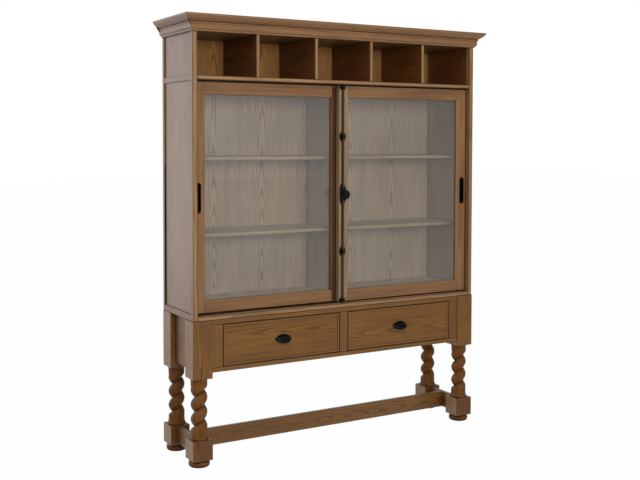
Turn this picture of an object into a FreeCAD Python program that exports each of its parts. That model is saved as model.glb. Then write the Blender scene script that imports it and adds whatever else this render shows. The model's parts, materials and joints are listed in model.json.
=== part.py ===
import FreeCAD, Part
import math
import os

V = FreeCAD.Vector

# A two-part dresser: a stand on four barley-twist legs with two drawers, and a hutch with two
# sliding glass doors, five cubbies and a moulded cornice. Millimetres. +X is the right-hand side
# seen from the front, the front faces -Y and +Z is up. The origin is on the floor, under the
# middle of the whole width and depth.

# Overall sizes
case_width = 1650.0
case_depth = 386.0
overall_height = 2135.0
stand_height = 700.0

# Clearances
seat_gap = 0.3        # under a sliding piece, to what carries it
shaft_gap = 0.1       # radial, round a shaft or pin
rack_gap = 0.4        # beside a sliding rack or rod end

# Working values for the shapes
overcut = 1.0         # how far a cutting solid runs past the faces it opens
edge_tolerance = 0.01

# Legs
leg_block = 100.0
leg_side_overhang = 2.5
leg_front_overhang = 3.3
leg_back_inset = 1.7
foot_height = 32.5
foot_radius = 51.3
foot_base_radius = 44.5
foot_neck_radius = 43.0
foot_groove = 3.0
foot_belly = 0.6      # height of the bun's widest ring, as a share of the bun
lower_block_height = 98.5
block_ease = 3.5
upper_block_drop = 27.0
twist_radius = 39.8
twist_root_radius = 20.5
twist_pitch = 70.3
twist_start_drop = 53.0
cup_length = 32.0
bell_length = 40.0
twist_fade = 22.0
twist_fullness = 0.8
collar_radius = 44.8
collar_height = 7.0
collar_cove = 16.0
cap_radius = 47.0
cap_cove = 12.0
twist_points = 24
twist_rows = 24
twist_end_room = 0.33 # of a row's step, between the last row and the turning's end

# Stretchers
stretcher_lift = 41.0
stretcher_height = 85.0
stretcher_thickness = 23.0

# Apron and drawers
apron_height = 250.0
apron_thickness = 22.0
apron_top_rail_height = 22.5
apron_bottom_rail_height = 22.0
apron_side_stile_width = 54.0
apron_centre_stile_width = 46.0
side_apron_thickness = 20.0
side_apron_inset = 27.5
back_apron_thickness = 18.0
back_apron_inset = 4.0
drawer_gap = 3.0
drawer_front_thickness = 20.0
drawer_bead_width = 10.0
drawer_bead_depth = 3.0
drawer_side_thickness = 12.0
drawer_side_height = 165.0
drawer_side_inset = 2.0
drawer_bottom_thickness = 6.0
drawer_bottom_lift = 9.0
drawer_groove_depth = 6.0
drawer_back_gap = 6.0
runner_width = 30.0
runner_height = 20.0
guide_height = 24.0
guide_gap = 0.5

# Cup pulls
pull_width = 95.0
pull_height = 45.0
pull_plate = 2.0
hood_width = 68.0
hood_radius = 27.0
hood_drop = 12.5      # of the hood's open edge, below the plate's middle
hood_wall = 2.2
pull_screw_radius = 1.75
pull_screw_head_radius = 3.25
pull_screw_head_height = 1.5
pull_screw_length = 14.0
pull_screw_inset = 7.5

# Hutch boards
side_thickness = 24.0
back_thickness = 6.0
back_rebate = 12.0
board_thickness = 18.0
bottom_board_thickness = 20.0
top_board_drop = 58.0
cubby_height = 206.0
cubby_count = 5
cornice_rail_thickness = 24.0
raised_floor_rise = 35.0
floor_front_gap = 4.0
floor_bearer_thickness = 18.0
partition_setback = 2.0
upper_shelf_height = 750.0
lower_shelf_height = 378.0
shelf_depth = 242.0
shelf_end_gap = 1.0
shelf_pin_radius = 2.5
shelf_pin_bore = 8.0
shelf_pin_reach = 10.0
shelf_pin_inset = 30.0

# Framed sides
side_front_stile_width = 28.0
side_back_stile_width = 22.0
side_bottom_rail_height = 29.0
side_mid_rail_height = 26.0
side_top_rail_height = 75.0
panel_recess = 6.5
panel_tongue_thickness = 6.0
panel_tongue_length = 7.0
panel_groove_depth = 8.0

# Cornice: heights from the top down, and how far each part stands out of the case
cornice_projection = 49.0
cornice_fillet_height = 8.0
cornice_ovolo_height = 25.0
cornice_ovolo_projection = 20.0
cornice_ovolo_bulge = 2.0
cornice_bead_height = 10.0
cornice_fascia_height = 23.0
cornice_fascia_projection = 15.0
cornice_cove_height = 11.0
cornice_cove_projection = 7.0
cornice_cove_bow = 0.3

# Sliding doors
door_thickness = 24.0
door_overlap = 34.0
door_side_gap = 3.0
door_bottom_gap = 5.5
door_top_gap = 6.5
front_door_setback = 28.0
door_spacing = 30.0
frame_flat_width = 54.0
sticking_width = 7.0
sticking_lip = 2.5
sticking_depth = 12.0
sticking_bow_out = 0.72   # middle of the rounded edge, as shares of its width and drop
sticking_bow_drop = 0.38
rebate_width = 10.0
glass_thickness = 4.0
glass_edge_gap = 1.0
track_width = 4.0
track_height = 4.0
shoe_length = 50.0
shoe_width = 14.0
shoe_pocket_depth = 12.0
shoe_end_inset = 60.0
shoe_floor_gap = 1.0
guide_pin_radius = 2.5
guide_pin_bore = 12.0
channel_height = 5.0
channel_wall = 2.0
channel_side_gap = 0.4

# Flush pulls
flush_pull_width = 30.0
flush_pull_height = 146.0
flush_pull_rim = 6.0
flush_pull_depth = 11.0
flush_pull_wall = 1.5
flush_pull_proud = 0.8
flush_pull_inset = 24.25

# Cremone bolt
rod_radius = 5.0
rod_plate_gap = 0.2
rod_rest_gap = 1.5
bolt_inset = 23.0
knob_height = 576.7
knob_reach = 42.0
knob_width = 31.0
knob_tall = 45.0
knob_depth = 20.0
neck_radius = 6.0
spindle_side = 6.0
spindle_tail = 6.0
pinion_teeth = 12
pinion_module = 1.0
pinion_thickness = 8.0
pinion_addendum = 0.75
pinion_dedendum = 1.05
pinion_flank_steps = 5
tooth_backlash = 0.15
pressure_angle = 25.0
rack_bar = 3.5
rack_foot = 6.0
case_plate_height = 107.0
case_plate_width = 32.0
case_lobe_rise = 24.0
case_end_side = 0.75      # shares of the plate's half width and half height
case_end_rise = 0.86
case_waist = 0.84
case_plate = 3.0
case_width_inside = 25.0
case_height_inside = 62.0
case_wall = 2.0
guide_plate_width = 38.0
guide_plate_height = 46.0
guide_waist = 0.42
guide_shoulder = 0.55
end_plate_height = 19.0
end_plate_waist = 0.45
saddle_wall = 3.0
saddle_length = 20.0
mid_guide_offset = 293.0
keeper_width = 12.0
keeper_depth = 11.0
screw_radius = 1.5
screw_head_radius = 2.8
screw_head_height = 1.2
screw_length = 12.0
guide_screw_side = 13.5
case_screw_side = 8.0
case_screw_rise = 41.0


# Main planes that follow from the sizes
front = -(case_depth + cornice_projection) / 2 + cornice_projection
back = front + case_depth
half_case = case_width / 2
half_inside = half_case - side_thickness
board_back = back - back_thickness

leg_x = half_case + leg_side_overhang - leg_block / 2
front_leg_y = front - leg_front_overhang + leg_block / 2
rear_leg_y = back - leg_back_inset - leg_block / 2
leg_inside = leg_x - leg_block / 2

apron_bottom = stand_height - apron_height
opening_bottom = apron_bottom + apron_bottom_rail_height
opening_top = stand_height - apron_top_rail_height
opening_inner = apron_centre_stile_width / 2
opening_outer = leg_inside - apron_side_stile_width
back_apron_back = rear_leg_y + leg_block / 2 - back_apron_inset
back_apron_front = back_apron_back - back_apron_thickness

sill = stand_height + bottom_board_thickness
top_board_top = overall_height - top_board_drop
cubby_top = top_board_top - board_thickness
cubby_floor = cubby_top - cubby_height
door_head = cubby_floor - board_thickness
raised_floor = sill + raised_floor_rise

door_width = half_inside - door_side_gap + door_overlap / 2
door_bottom = sill + door_bottom_gap
door_top = door_head - door_top_gap
door_height = door_top - door_bottom
front_door_y = front + front_door_setback
rear_door_y = front_door_y + door_spacing
floor_front = rear_door_y + door_thickness + floor_front_gap
partition_front = floor_front + partition_setback

left_door_x = -half_inside + door_side_gap
right_door_x = half_inside - door_side_gap - door_width
bolt_x = right_door_x + bolt_inset
bolt_y = front_door_y - case_plate - rod_plate_gap - rod_radius
knob_z = stand_height + knob_height
pitch_radius = pinion_teeth * pinion_module / 2
bolt_throw = pitch_radius * math.pi / 2


def box(x0, x1, y0, y1, z0, z1):
    return Part.makeBox(x1 - x0, y1 - y0, z1 - z0, V(x0, y0, z0))


def rod(start, axis, radius, length):
    return Part.makeCylinder(radius, length, start, axis)


def outline(points, place):
    """Closed face from corners (a, b); a corner marked (a, b, "arc") is the middle of an arc."""
    edges = []
    count = len(points)
    for index, point in enumerate(points):
        following = points[(index + 1) % count]
        if len(point) == 3:
            continue
        if len(following) == 3:
            end = points[(index + 2) % count]
            edges.append(Part.Arc(place(*point), place(*following[:2]), place(*end)).toShape())
        else:
            edges.append(Part.makeLine(place(*point), place(*following)))
    return Part.Face(Part.Wire(edges))


def prism_y(points, y0, y1):
    return outline(points, lambda x, z: V(x, y0, z)).extrude(V(0, y1 - y0, 0))


def prism_z(points, z0, z1):
    return outline(points, lambda x, y: V(x, y, z0)).extrude(V(0, 0, z1 - z0))


def moved(shape, x=0.0, y=0.0, z=0.0):
    copy = shape.copy()
    copy.translate(V(x, y, z))
    return copy


def mirrored(shape):
    return shape.mirror(V(0, 0, 0), V(1, 0, 0))


nodes = {}


def keep(name, *solids):
    nodes[name] = list(solids)


# ---- Stand -------------------------------------------------------------------------------------

def turning_radius(z, length):
    """Plain turned radius: a collar and cove, a straight body and a flare under the block."""
    if z < collar_height:
        return collar_radius
    if z < collar_height + collar_cove:
        rise = (z - collar_height) / collar_cove
        return twist_radius + (collar_radius - twist_radius) * (1 - math.sin(rise * math.pi / 2))
    if z > length - cap_cove:
        rise = (z - length + cap_cove) / cap_cove
        return twist_radius + (cap_radius - twist_radius) * (1 - math.cos(rise * math.pi / 2))
    return twist_radius


def groove_share(z, length):
    """0 on the plain cup and bell, 1 along the twist."""
    from_top = (length - cup_length - z) / twist_fade
    from_bottom = (z - bell_length) / twist_fade
    share = max(0.0, min(1.0, from_top, from_bottom))
    return share * share * (3 - 2 * share)


def twist_ring(z, notch, length):
    """Closed curve round the turning at height z; the twist's notch faces +X at z = notch."""
    points = []
    for index in range(twist_points):
        turn = index / twist_points
        bulge = abs(math.sin(math.pi * ((z - notch) / twist_pitch - turn))) ** twist_fullness
        depth = (twist_radius - twist_root_radius) * (1 - bulge) * groove_share(z, length)
        radius = turning_radius(z, length) - depth
        angle = 2 * math.pi * turn
        points.append(V(radius * math.cos(angle), radius * math.sin(angle), z))
    ring = Part.BSplineCurve()
    steps = [index / twist_points for index in range(twist_points + 1)]
    ring.interpolate(Points=points, PeriodicFlag=True, Parameters=steps)
    return ring


def twisted_turning(length):
    """The turned length of a leg: one surface through rings that follow the right-hand twist."""
    notch = length - twist_start_drop
    step = twist_pitch / twist_rows
    first = math.ceil((step * twist_end_room - notch) / step)
    last = math.floor((length - step * twist_end_room - notch) / step)
    heights = [0.0] + [notch + step * row for row in range(first, last + 1)] + [length]
    surface = Part.BSplineSurface()
    surface.buildFromNSections([twist_ring(z, notch, length) for z in heights])
    skin = surface.toShape()
    faces = [skin]
    for level in (0.0, length):
        rim = [edge for edge in skin.Edges
               if max(abs(edge.BoundBox.ZMin - level),
                      abs(edge.BoundBox.ZMax - level)) < edge_tolerance]
        faces.append(Part.Face(Part.Wire(rim)))
    closed = Part.makeCompound(faces)
    closed.sewShape()
    return Part.makeSolid(closed.Shells[0])


def make_leg():
    lower_top = foot_height + lower_block_height
    upper_bottom = apron_bottom - upper_block_drop
    half = leg_block / 2
    foot = outline([(0, 0), (foot_base_radius, 0),
                    (foot_radius, (foot_height - foot_groove) * foot_belly, "arc"),
                    (foot_neck_radius, foot_height - foot_groove),
                    (foot_neck_radius, foot_height), (0, foot_height)],
                   lambda r, z: V(r, 0, z)).revolve(V(0, 0, 0), V(0, 0, 1), 360)
    lower = box(-half, half, -half, half, foot_height, lower_top)
    eased = [edge for edge in lower.Edges if edge.BoundBox.ZLength < edge_tolerance]
    lower = lower.makeChamfer(block_ease, eased)
    upper = box(-half, half, -half, half, upper_bottom, stand_height)
    turning = moved(twisted_turning(upper_bottom - lower_top), z=lower_top)
    return foot.fuse([lower, turning, upper]).removeSplitter()


def make_stand():
    leg = make_leg()
    keep("front_left_leg", moved(leg, -leg_x, front_leg_y))
    keep("front_right_leg", moved(leg, leg_x, front_leg_y))
    keep("rear_left_leg", moved(leg, -leg_x, rear_leg_y))
    keep("rear_right_leg", moved(leg, leg_x, rear_leg_y))

    half = stretcher_thickness / 2
    stretcher_top = stretcher_lift + stretcher_height
    side = box(leg_x - half, leg_x + half, front_leg_y + leg_block / 2,
               rear_leg_y - leg_block / 2, stretcher_lift, stretcher_top)
    keep("side_stretchers", side, mirrored(side))
    middle = (front_leg_y + rear_leg_y) / 2
    keep("long_stretcher", box(-leg_x + half, leg_x - half, middle - half, middle + half,
                               stretcher_lift, stretcher_top))

    apron_back = front + apron_thickness
    keep("apron_top_rail", box(-leg_inside, leg_inside, front, apron_back,
                               opening_top, stand_height))
    keep("apron_bottom_rail", box(-leg_inside, leg_inside, front, apron_back,
                                  apron_bottom, opening_bottom))
    stile = box(opening_outer, leg_inside, front, apron_back, opening_bottom, opening_top)
    keep("apron_stiles", stile, mirrored(stile),
         box(-opening_inner, opening_inner, front, apron_back, opening_bottom, opening_top))
    side_face = leg_x + leg_block / 2 - side_apron_inset
    side_apron = box(side_face - side_apron_thickness, side_face, front_leg_y + leg_block / 2,
                     rear_leg_y - leg_block / 2, apron_bottom, stand_height)
    keep("side_and_back_aprons", side_apron, mirrored(side_apron),
         box(-leg_inside, leg_inside, back_apron_front, back_apron_back,
             apron_bottom, stand_height))


# ---- Drawers -----------------------------------------------------------------------------------

drawer_inner = opening_inner + drawer_gap
drawer_outer = opening_outer - drawer_gap
drawer_bottom = opening_bottom + drawer_gap
drawer_top = opening_top - drawer_gap
box_inner = drawer_inner + drawer_side_inset
box_outer = drawer_outer - drawer_side_inset
box_front = front + drawer_front_thickness
box_back = back_apron_front - drawer_back_gap
pull_x = (drawer_inner + drawer_outer) / 2
pull_z = (drawer_bottom + drawer_top) / 2
pull_screw_x = pull_width / 2 - pull_screw_inset


def make_runners():
    solids = []
    runner_top = drawer_bottom - seat_gap
    for edge, inward in ((box_inner, 1), (box_outer, -1)):
        outside = edge - inward * guide_gap
        reach = edge + inward * drawer_side_thickness
        far = reach - inward * runner_width
        low, high = sorted((far, reach))
        solids.append(box(low, high, front + apron_thickness, back_apron_front,
                          runner_top - runner_height, runner_top))
        low, high = sorted((far, outside))
        solids.append(box(low, high, front + apron_thickness, back_apron_front,
                          runner_top, runner_top + guide_height))
    keep("drawer_runners", *solids, *[mirrored(solid) for solid in solids])


def make_cup_pull():
    """Eye-shaped plate with a hood that is open below, against the face y = 0, facing -Y."""
    half = pull_width / 2
    rise = pull_height / 2
    plate = prism_y([(-half, 0), (0, rise, "arc"), (half, 0), (0, -rise, "arc")], -pull_plate, 0)
    reach = hood_width / 2
    inner = reach - hood_wall
    crescent = outline([(-reach, 0), (0, hood_radius, "arc"), (reach, 0), (inner, 0),
                        (0, hood_radius - hood_wall, "arc"), (-inner, 0)],
                       lambda x, z: V(x, 0, z))
    hood = crescent.revolve(V(0, 0, 0), V(1, 0, 0), 90)
    hood = moved(hood, z=-hood_drop)
    pull = plate.fuse(hood).removeSplitter()
    for side in (-1, 1):
        hole = rod(V(side * pull_screw_x, overcut, 0), V(0, -1, 0),
                   pull_screw_radius + shaft_gap, pull_plate + 2 * overcut)
        pull = pull.cut(hole)
    return pull


def make_drawer(prefix, flip):
    place = mirrored if flip else (lambda shape: shape)
    face = box(drawer_inner, drawer_outer, front, box_front, drawer_bottom, drawer_top)
    field = box(drawer_inner + drawer_bead_width, drawer_outer - drawer_bead_width,
                front - overcut, front + drawer_bead_depth,
                drawer_bottom + drawer_bead_width, drawer_top - drawer_bead_width)
    face = face.cut(field)
    panel_bottom = drawer_bottom + drawer_bottom_lift
    panel_top = panel_bottom + drawer_bottom_thickness
    inside_inner = box_inner + drawer_side_thickness
    inside_outer = box_outer - drawer_side_thickness
    panel = box(inside_inner - drawer_groove_depth, inside_outer + drawer_groove_depth,
                box_front - drawer_groove_depth, box_back, panel_bottom, panel_top)
    face = face.cut(panel)
    side_top = drawer_bottom + drawer_side_height
    sides = []
    for low, high in ((box_inner, inside_inner), (inside_outer, box_outer)):
        board = box(low, high, box_front, box_back, drawer_bottom, side_top)
        sides.append(board.cut(panel))
    rear = box(inside_inner, inside_outer, box_back - drawer_side_thickness, box_back,
               panel_top, side_top)
    pull_face = front + drawer_bead_depth
    screws = []
    for side in (-1, 1):
        centre = V(pull_x + side * pull_screw_x, pull_face - pull_plate, pull_z)
        screw = rod(centre, V(0, 1, 0), pull_screw_radius, pull_screw_length)
        head = rod(centre, V(0, -1, 0), pull_screw_head_radius, pull_screw_head_height)
        face = face.cut(rod(centre, V(0, 1, 0), pull_screw_radius + shaft_gap,
                            pull_screw_length + shaft_gap))
        screws.append(screw.fuse(head))
    keep(prefix + "_drawer_front", place(face))
    keep(prefix + "_drawer_sides", *[place(side) for side in sides])
    keep(prefix + "_drawer_back", place(rear))
    keep(prefix + "_drawer_bottom", place(panel))
    keep(prefix + "_cup_pull", place(moved(make_cup_pull(), pull_x, pull_face, pull_z)))
    keep(prefix + "_pull_screws", *[place(screw) for screw in screws])


# ---- Hutch case --------------------------------------------------------------------------------

keeper_front = bolt_y - keeper_width / 2
keeper_back = bolt_y + keeper_width / 2
mid_rail_z = cubby_floor - board_thickness / 2


def shelf_pins_for(low, high, top):
    """Pins for one shelf between the faces x = low and x = high, just under the shelf."""
    z = top - board_thickness - shaft_gap - shelf_pin_radius
    shelf_front = board_back - shelf_depth
    pins = []
    for y in (shelf_front + shelf_pin_inset, board_back - shelf_pin_inset):
        pins.append(rod(V(low - shelf_pin_bore, y, z), V(1, 0, 0), shelf_pin_radius,
                        shelf_pin_bore + shelf_pin_reach))
        pins.append(rod(V(high + shelf_pin_bore, y, z), V(-1, 0, 0), shelf_pin_radius,
                        shelf_pin_bore + shelf_pin_reach))
    return pins


def pin_holes(low, high, top):
    z = top - board_thickness - shaft_gap - shelf_pin_radius
    shelf_front = board_back - shelf_depth
    holes = []
    for y in (shelf_front + shelf_pin_inset, board_back - shelf_pin_inset):
        for x, way in ((low, -1), (high, 1)):
            holes.append(rod(V(x - way * overcut, y, z), V(way, 0, 0), shelf_pin_radius + shaft_gap,
                             shelf_pin_bore + shaft_gap + overcut))
    return holes


def make_hutch_side(name, flip, holes):
    """One framed side with its panels recessed outside and flush inside."""
    place = mirrored if flip else (lambda shape: shape)
    low, high = half_inside, half_case
    frame_front = front + side_front_stile_width
    frame_back = back - side_back_stile_width
    rebate = box(low - overcut, low + back_rebate, board_back, back + overcut,
                 stand_height - overcut, overall_height + overcut)
    front_stile = box(low, high, front, frame_front, stand_height, overall_height)
    back_stile = box(low, high, frame_back, back, stand_height, overall_height).cut(rebate)
    levels = [(stand_height, stand_height + side_bottom_rail_height),
              (mid_rail_z - side_mid_rail_height / 2, mid_rail_z + side_mid_rail_height / 2),
              (overall_height - side_top_rail_height, overall_height)]
    rails = [box(low, high, frame_front, frame_back, z0, z1) for z0, z1 in levels]
    tongue_inner = low + (side_thickness - panel_recess - panel_tongue_thickness) / 2
    panels = []
    frame = [front_stile, back_stile] + rails
    for (_, z0), (z1, _) in zip(levels, levels[1:]):
        field = box(low, high - panel_recess, frame_front, frame_back, z0, z1)
        tongue = box(tongue_inner, tongue_inner + panel_tongue_thickness,
                     frame_front - panel_tongue_length, frame_back + panel_tongue_length,
                     z0 - panel_tongue_length, z1 + panel_tongue_length)
        groove = box(tongue_inner, tongue_inner + panel_tongue_thickness,
                     frame_front - panel_groove_depth, frame_back + panel_groove_depth,
                     z0 - panel_groove_depth, z1 + panel_groove_depth)
        frame = [piece.cut(groove) for piece in frame]
        panels.append(field.fuse(tongue).removeSplitter())
    panels = [place(panel) for panel in panels]
    for hole in holes:
        panels = [panel.cut(hole) for panel in panels]
    keep(name + "_side_frame", *[place(piece) for piece in frame])
    keep(name + "_side_panels", *panels)


def make_boards():
    reach = half_inside + overcut
    groove_floor = box(-reach, reach, keeper_front, keeper_back, sill - keeper_depth,
                       sill + overcut)
    keep("bottom_board", box(-half_inside, half_inside, front, board_back, stand_height,
                             sill).cut(groove_floor))
    groove_head = box(-reach, reach, keeper_front, keeper_back, door_head - overcut,
                      door_head + keeper_depth)
    keep("cubby_shelf", box(-half_inside, half_inside, front, board_back, door_head,
                            cubby_floor).cut(groove_head))
    keep("top_board", box(-half_inside, half_inside, front, board_back, cubby_top,
                          top_board_top))
    cubby_width = (2 * half_inside - (cubby_count - 1) * board_thickness) / cubby_count
    dividers = []
    for index in range(1, cubby_count):
        left = -half_inside + index * cubby_width + (index - 1) * board_thickness
        dividers.append(box(left, left + board_thickness, front, board_back,
                            cubby_floor, cubby_top))
    keep("cubby_dividers", *dividers)
    keep("cornice_rails",
         box(-half_inside, half_inside, front, front + cornice_rail_thickness,
             top_board_top, overall_height),
         box(-half_inside, half_inside, board_back - cornice_rail_thickness, board_back,
             top_board_top, overall_height))
    keep("raised_floor", box(-half_inside, half_inside, floor_front, board_back,
                             raised_floor - board_thickness, raised_floor))
    keep("floor_bearers",
         box(-half_inside, half_inside, floor_front, floor_front + floor_bearer_thickness,
             sill, raised_floor - board_thickness),
         box(-half_inside, half_inside, board_back - floor_bearer_thickness, board_back,
             sill, raised_floor - board_thickness))
    edge = half_inside + back_rebate
    keep("back_panels",
         box(-edge, 0, board_back, back, stand_height, mid_rail_z),
         box(0, edge, board_back, back, stand_height, mid_rail_z),
         box(-edge, edge, board_back, back, mid_rail_z, overall_height))


def make_interior():
    """Centre partition, loose shelves and pins; returns the pin holes for the sides."""
    half = board_thickness / 2
    partition = box(-half, half, partition_front, board_back, raised_floor, door_head)
    shelves, pins, outer_holes = [], [], []
    for low, high in ((-half_inside, -half), (half, half_inside)):
        for rise in (lower_shelf_height, upper_shelf_height):
            top = sill + rise
            shelves.append(box(low + shelf_end_gap, high - shelf_end_gap,
                               board_back - shelf_depth, board_back - shelf_end_gap,
                               top - board_thickness, top))
            pins += shelf_pins_for(low, high, top)
            holes = pin_holes(low, high, top)
            for hole in holes:
                partition = partition.cut(hole)
            outer_holes += holes
    keep("centre_partition", partition)
    keep("adjustable_shelves", *shelves)
    keep("shelf_pins", *pins)
    return outer_holes


def cornice_profile():
    """(stand-out from the case, height) round the moulding, from the top of its flat back."""
    fillet = overall_height - cornice_fillet_height
    ovolo = fillet - cornice_ovolo_height
    bead = ovolo - cornice_bead_height
    fascia = bead - cornice_fascia_height
    foot = fascia - cornice_cove_height
    run = cornice_projection - cornice_ovolo_projection
    slope = math.hypot(run, cornice_ovolo_height)
    belly_out = (cornice_projection + cornice_ovolo_projection) / 2
    belly_out += cornice_ovolo_bulge * cornice_ovolo_height / slope
    belly_z = (fillet + ovolo) / 2 - cornice_ovolo_bulge * run / slope
    bead_out = cornice_fascia_projection + cornice_bead_height / 2
    cove_run = cornice_fascia_projection - cornice_cove_projection
    cove_out = cornice_cove_projection + cove_run * cornice_cove_bow
    return [(0, overall_height), (cornice_projection, overall_height),
            (cornice_projection, fillet), (belly_out, belly_z, "arc"),
            (cornice_ovolo_projection, ovolo), (cornice_fascia_projection, ovolo),
            (bead_out, (ovolo + bead) / 2, "arc"), (cornice_fascia_projection, bead),
            (cornice_fascia_projection, fascia),
            (cove_out, fascia - cornice_cove_height * cornice_cove_bow, "arc"),
            (cornice_cove_projection, foot), (0, foot)]


def make_cornice():
    profile = cornice_profile()
    foot = profile[-1][1]
    out = half_case + cornice_projection
    nose = front - cornice_projection
    front_run = outline(profile, lambda p, z: V(-out, front - p, z)).extrude(V(2 * out, 0, 0))
    front_plan = prism_z([(-half_case, front), (half_case, front), (out, nose), (-out, nose)],
                         foot, overall_height)
    keep("front_cornice", front_run.common(front_plan))
    side_run = outline(profile, lambda p, z: V(half_case + p, nose, z))
    side_run = side_run.extrude(V(0, back - nose, 0))
    side_plan = prism_z([(half_case, back), (half_case, front), (out, nose), (out, back)],
                        foot, overall_height)
    side = side_run.common(side_plan)
    keep("side_cornices", side, mirrored(side))


# ---- Sliding doors -----------------------------------------------------------------------------

def member_section(across, depth):
    """Section of a frame member: a flat face, an ovolo edge and a rebate for the glass behind."""
    lip = frame_flat_width + sticking_width
    drop = sticking_depth - sticking_lip
    return [across(0, 0), across(frame_flat_width, 0),
            across(frame_flat_width + sticking_width * sticking_bow_out,
                   drop * sticking_bow_drop, "arc"),
            across(lip, drop), across(lip, sticking_depth),
            across(lip - rebate_width, sticking_depth),
            across(lip - rebate_width, depth), across(0, depth)]


def corner(a, b, *mark):
    return (a, b) + mark


def make_door_frame():
    """Stiles and rails of one door, its lower left corner at the origin, face at y = 0."""
    width, height, flat = door_width, door_height, frame_flat_width
    lip = flat + sticking_width
    section = member_section(corner, door_thickness)
    stile_run = outline(section, lambda a, b: V(a, b, 0)).extrude(V(0, 0, height))
    stile_plan = prism_y([(0, 0), (flat, 0), (flat, flat), (lip, lip), (lip, height - lip),
                          (flat, height - flat), (flat, height), (0, height)],
                         0, door_thickness)
    rail_run = outline(section, lambda a, b: V(0, b, a)).extrude(V(width, 0, 0))
    rail_plan = prism_y([(flat, 0), (width - flat, 0), (width - flat, flat),
                         (width - lip, lip), (lip, lip), (flat, flat)], 0, door_thickness)
    left_stile = stile_run.common(stile_plan)
    bottom_rail = rail_run.common(rail_plan)
    right_stile = left_stile.mirror(V(width / 2, 0, 0), V(1, 0, 0))
    top_rail = bottom_rail.mirror(V(0, 0, height / 2), V(0, 0, 1))
    return [left_stile, right_stile], [bottom_rail, top_rail]


def flush_outline(half_width, half_height):
    """Round-ended slot outline about the origin."""
    straight = half_height - half_width
    return [(-half_width, -straight), (0, -half_height, "arc"), (half_width, -straight),
            (half_width, straight), (0, half_height, "arc"), (-half_width, straight)]


def make_flush_pull():
    """Recessed pull about the origin, facing -Y, with the door face at y = 0."""
    half_width, half_height = flush_pull_width / 2, flush_pull_height / 2
    inset = flush_pull_rim - flush_pull_wall
    rim = prism_y(flush_outline(half_width, half_height), -flush_pull_proud, 0)
    body = prism_y(flush_outline(half_width - inset, half_height - inset), 0, flush_pull_depth)
    dish = prism_y(flush_outline(half_width - flush_pull_rim, half_height - flush_pull_rim),
                   -flush_pull_proud - overcut, flush_pull_depth - flush_pull_wall)
    return rim.fuse(body).cut(dish).removeSplitter()


def make_door(prefix, door_x, face_y, pull_at, fittings):
    """One glazed door with its left edge at door_x and its pull centred at pull_at."""
    stiles, rails = make_door_frame()
    stiles = [moved(stile, door_x, face_y, door_bottom) for stile in stiles]
    rails = [moved(rail, door_x, face_y, door_bottom) for rail in rails]
    lip = frame_flat_width + sticking_width
    inner = lip - rebate_width
    glass_front = face_y + sticking_depth
    glass_back = glass_front + glass_thickness
    door_back = face_y + door_thickness
    x0, x1 = door_x + inner, door_x + door_width - inner
    z0, z1 = door_bottom + inner, door_top - inner
    keep(prefix + "_door_glass",
         box(x0 + glass_edge_gap, x1 - glass_edge_gap, glass_front, glass_back,
             z0 + glass_edge_gap, z1 - glass_edge_gap))
    keep(prefix + "_door_beads",
         box(x0, x0 + rebate_width, glass_back, door_back, z0, z1),
         box(x1 - rebate_width, x1, glass_back, door_back, z0, z1),
         box(x0 + rebate_width, x1 - rebate_width, glass_back, door_back, z0, z0 + rebate_width),
         box(x0 + rebate_width, x1 - rebate_width, glass_back, door_back, z1 - rebate_width, z1))

    middle_y = face_y + door_thickness / 2
    track_top = sill + track_height
    glides = []
    for centre in (door_x + frame_flat_width + shoe_end_inset,
                   door_x + door_width - frame_flat_width - shoe_end_inset):
        pocket = box(centre - shoe_length / 2, centre + shoe_length / 2,
                     middle_y - shoe_width / 2, middle_y + shoe_width / 2,
                     sill + shoe_floor_gap, door_bottom + shoe_pocket_depth)
        slot = box(centre - shoe_length, centre + shoe_length,
                   middle_y - track_width / 2 - seat_gap, middle_y + track_width / 2 + seat_gap,
                   sill, track_top + seat_gap)
        rails[0] = rails[0].cut(pocket)
        glides.append(pocket.cut(slot))
        pin_base = V(centre, middle_y, door_top - guide_pin_bore)
        pin_length = guide_pin_bore + door_top_gap - channel_wall - seat_gap
        pin = rod(pin_base, V(0, 0, 1), guide_pin_radius, pin_length)
        hole = rod(pin_base - V(0, 0, shaft_gap), V(0, 0, 1), guide_pin_radius + shaft_gap,
                   guide_pin_bore + overcut)
        rails[1] = rails[1].cut(hole)
        glides.append(pin)

    inset = flush_pull_rim - flush_pull_wall
    mortise = prism_y(flush_outline(flush_pull_width / 2 - inset, flush_pull_height / 2 - inset),
                      -overcut, flush_pull_depth)
    stiles = [stile.cut(moved(mortise, *pull_at)) for stile in stiles]
    for fitting in fittings:
        stiles = [stile.cut(fitting) for stile in stiles]
    keep(prefix + "_door_stiles", *stiles)
    keep(prefix + "_door_rails", *rails)
    keep(prefix + "_flush_pull", moved(make_flush_pull(), *pull_at))
    keep(prefix + "_door_glides", *glides)


def make_tracks():
    """A low rail on the bottom board and a channel under the cubby shelf for each door."""
    pieces = []
    pin_reach = guide_pin_radius + channel_side_gap
    for face_y in (front_door_y, rear_door_y):
        middle = face_y + door_thickness / 2
        pieces.append(box(-half_inside, half_inside, middle - track_width / 2,
                          middle + track_width / 2, sill, sill + track_height))
        channel = box(-half_inside, half_inside, middle - pin_reach - channel_wall,
                      middle + pin_reach + channel_wall, door_head - channel_height, door_head)
        slot = box(-half_inside - overcut, half_inside + overcut, middle - pin_reach,
                   middle + pin_reach, door_head - channel_height - overcut,
                   door_head - channel_wall)
        pieces.append(channel.cut(slot))
    keep("door_tracks", *pieces)


# ---- Cremone bolt ------------------------------------------------------------------------------

def involute(angle):
    return math.tan(angle) - angle


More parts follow.
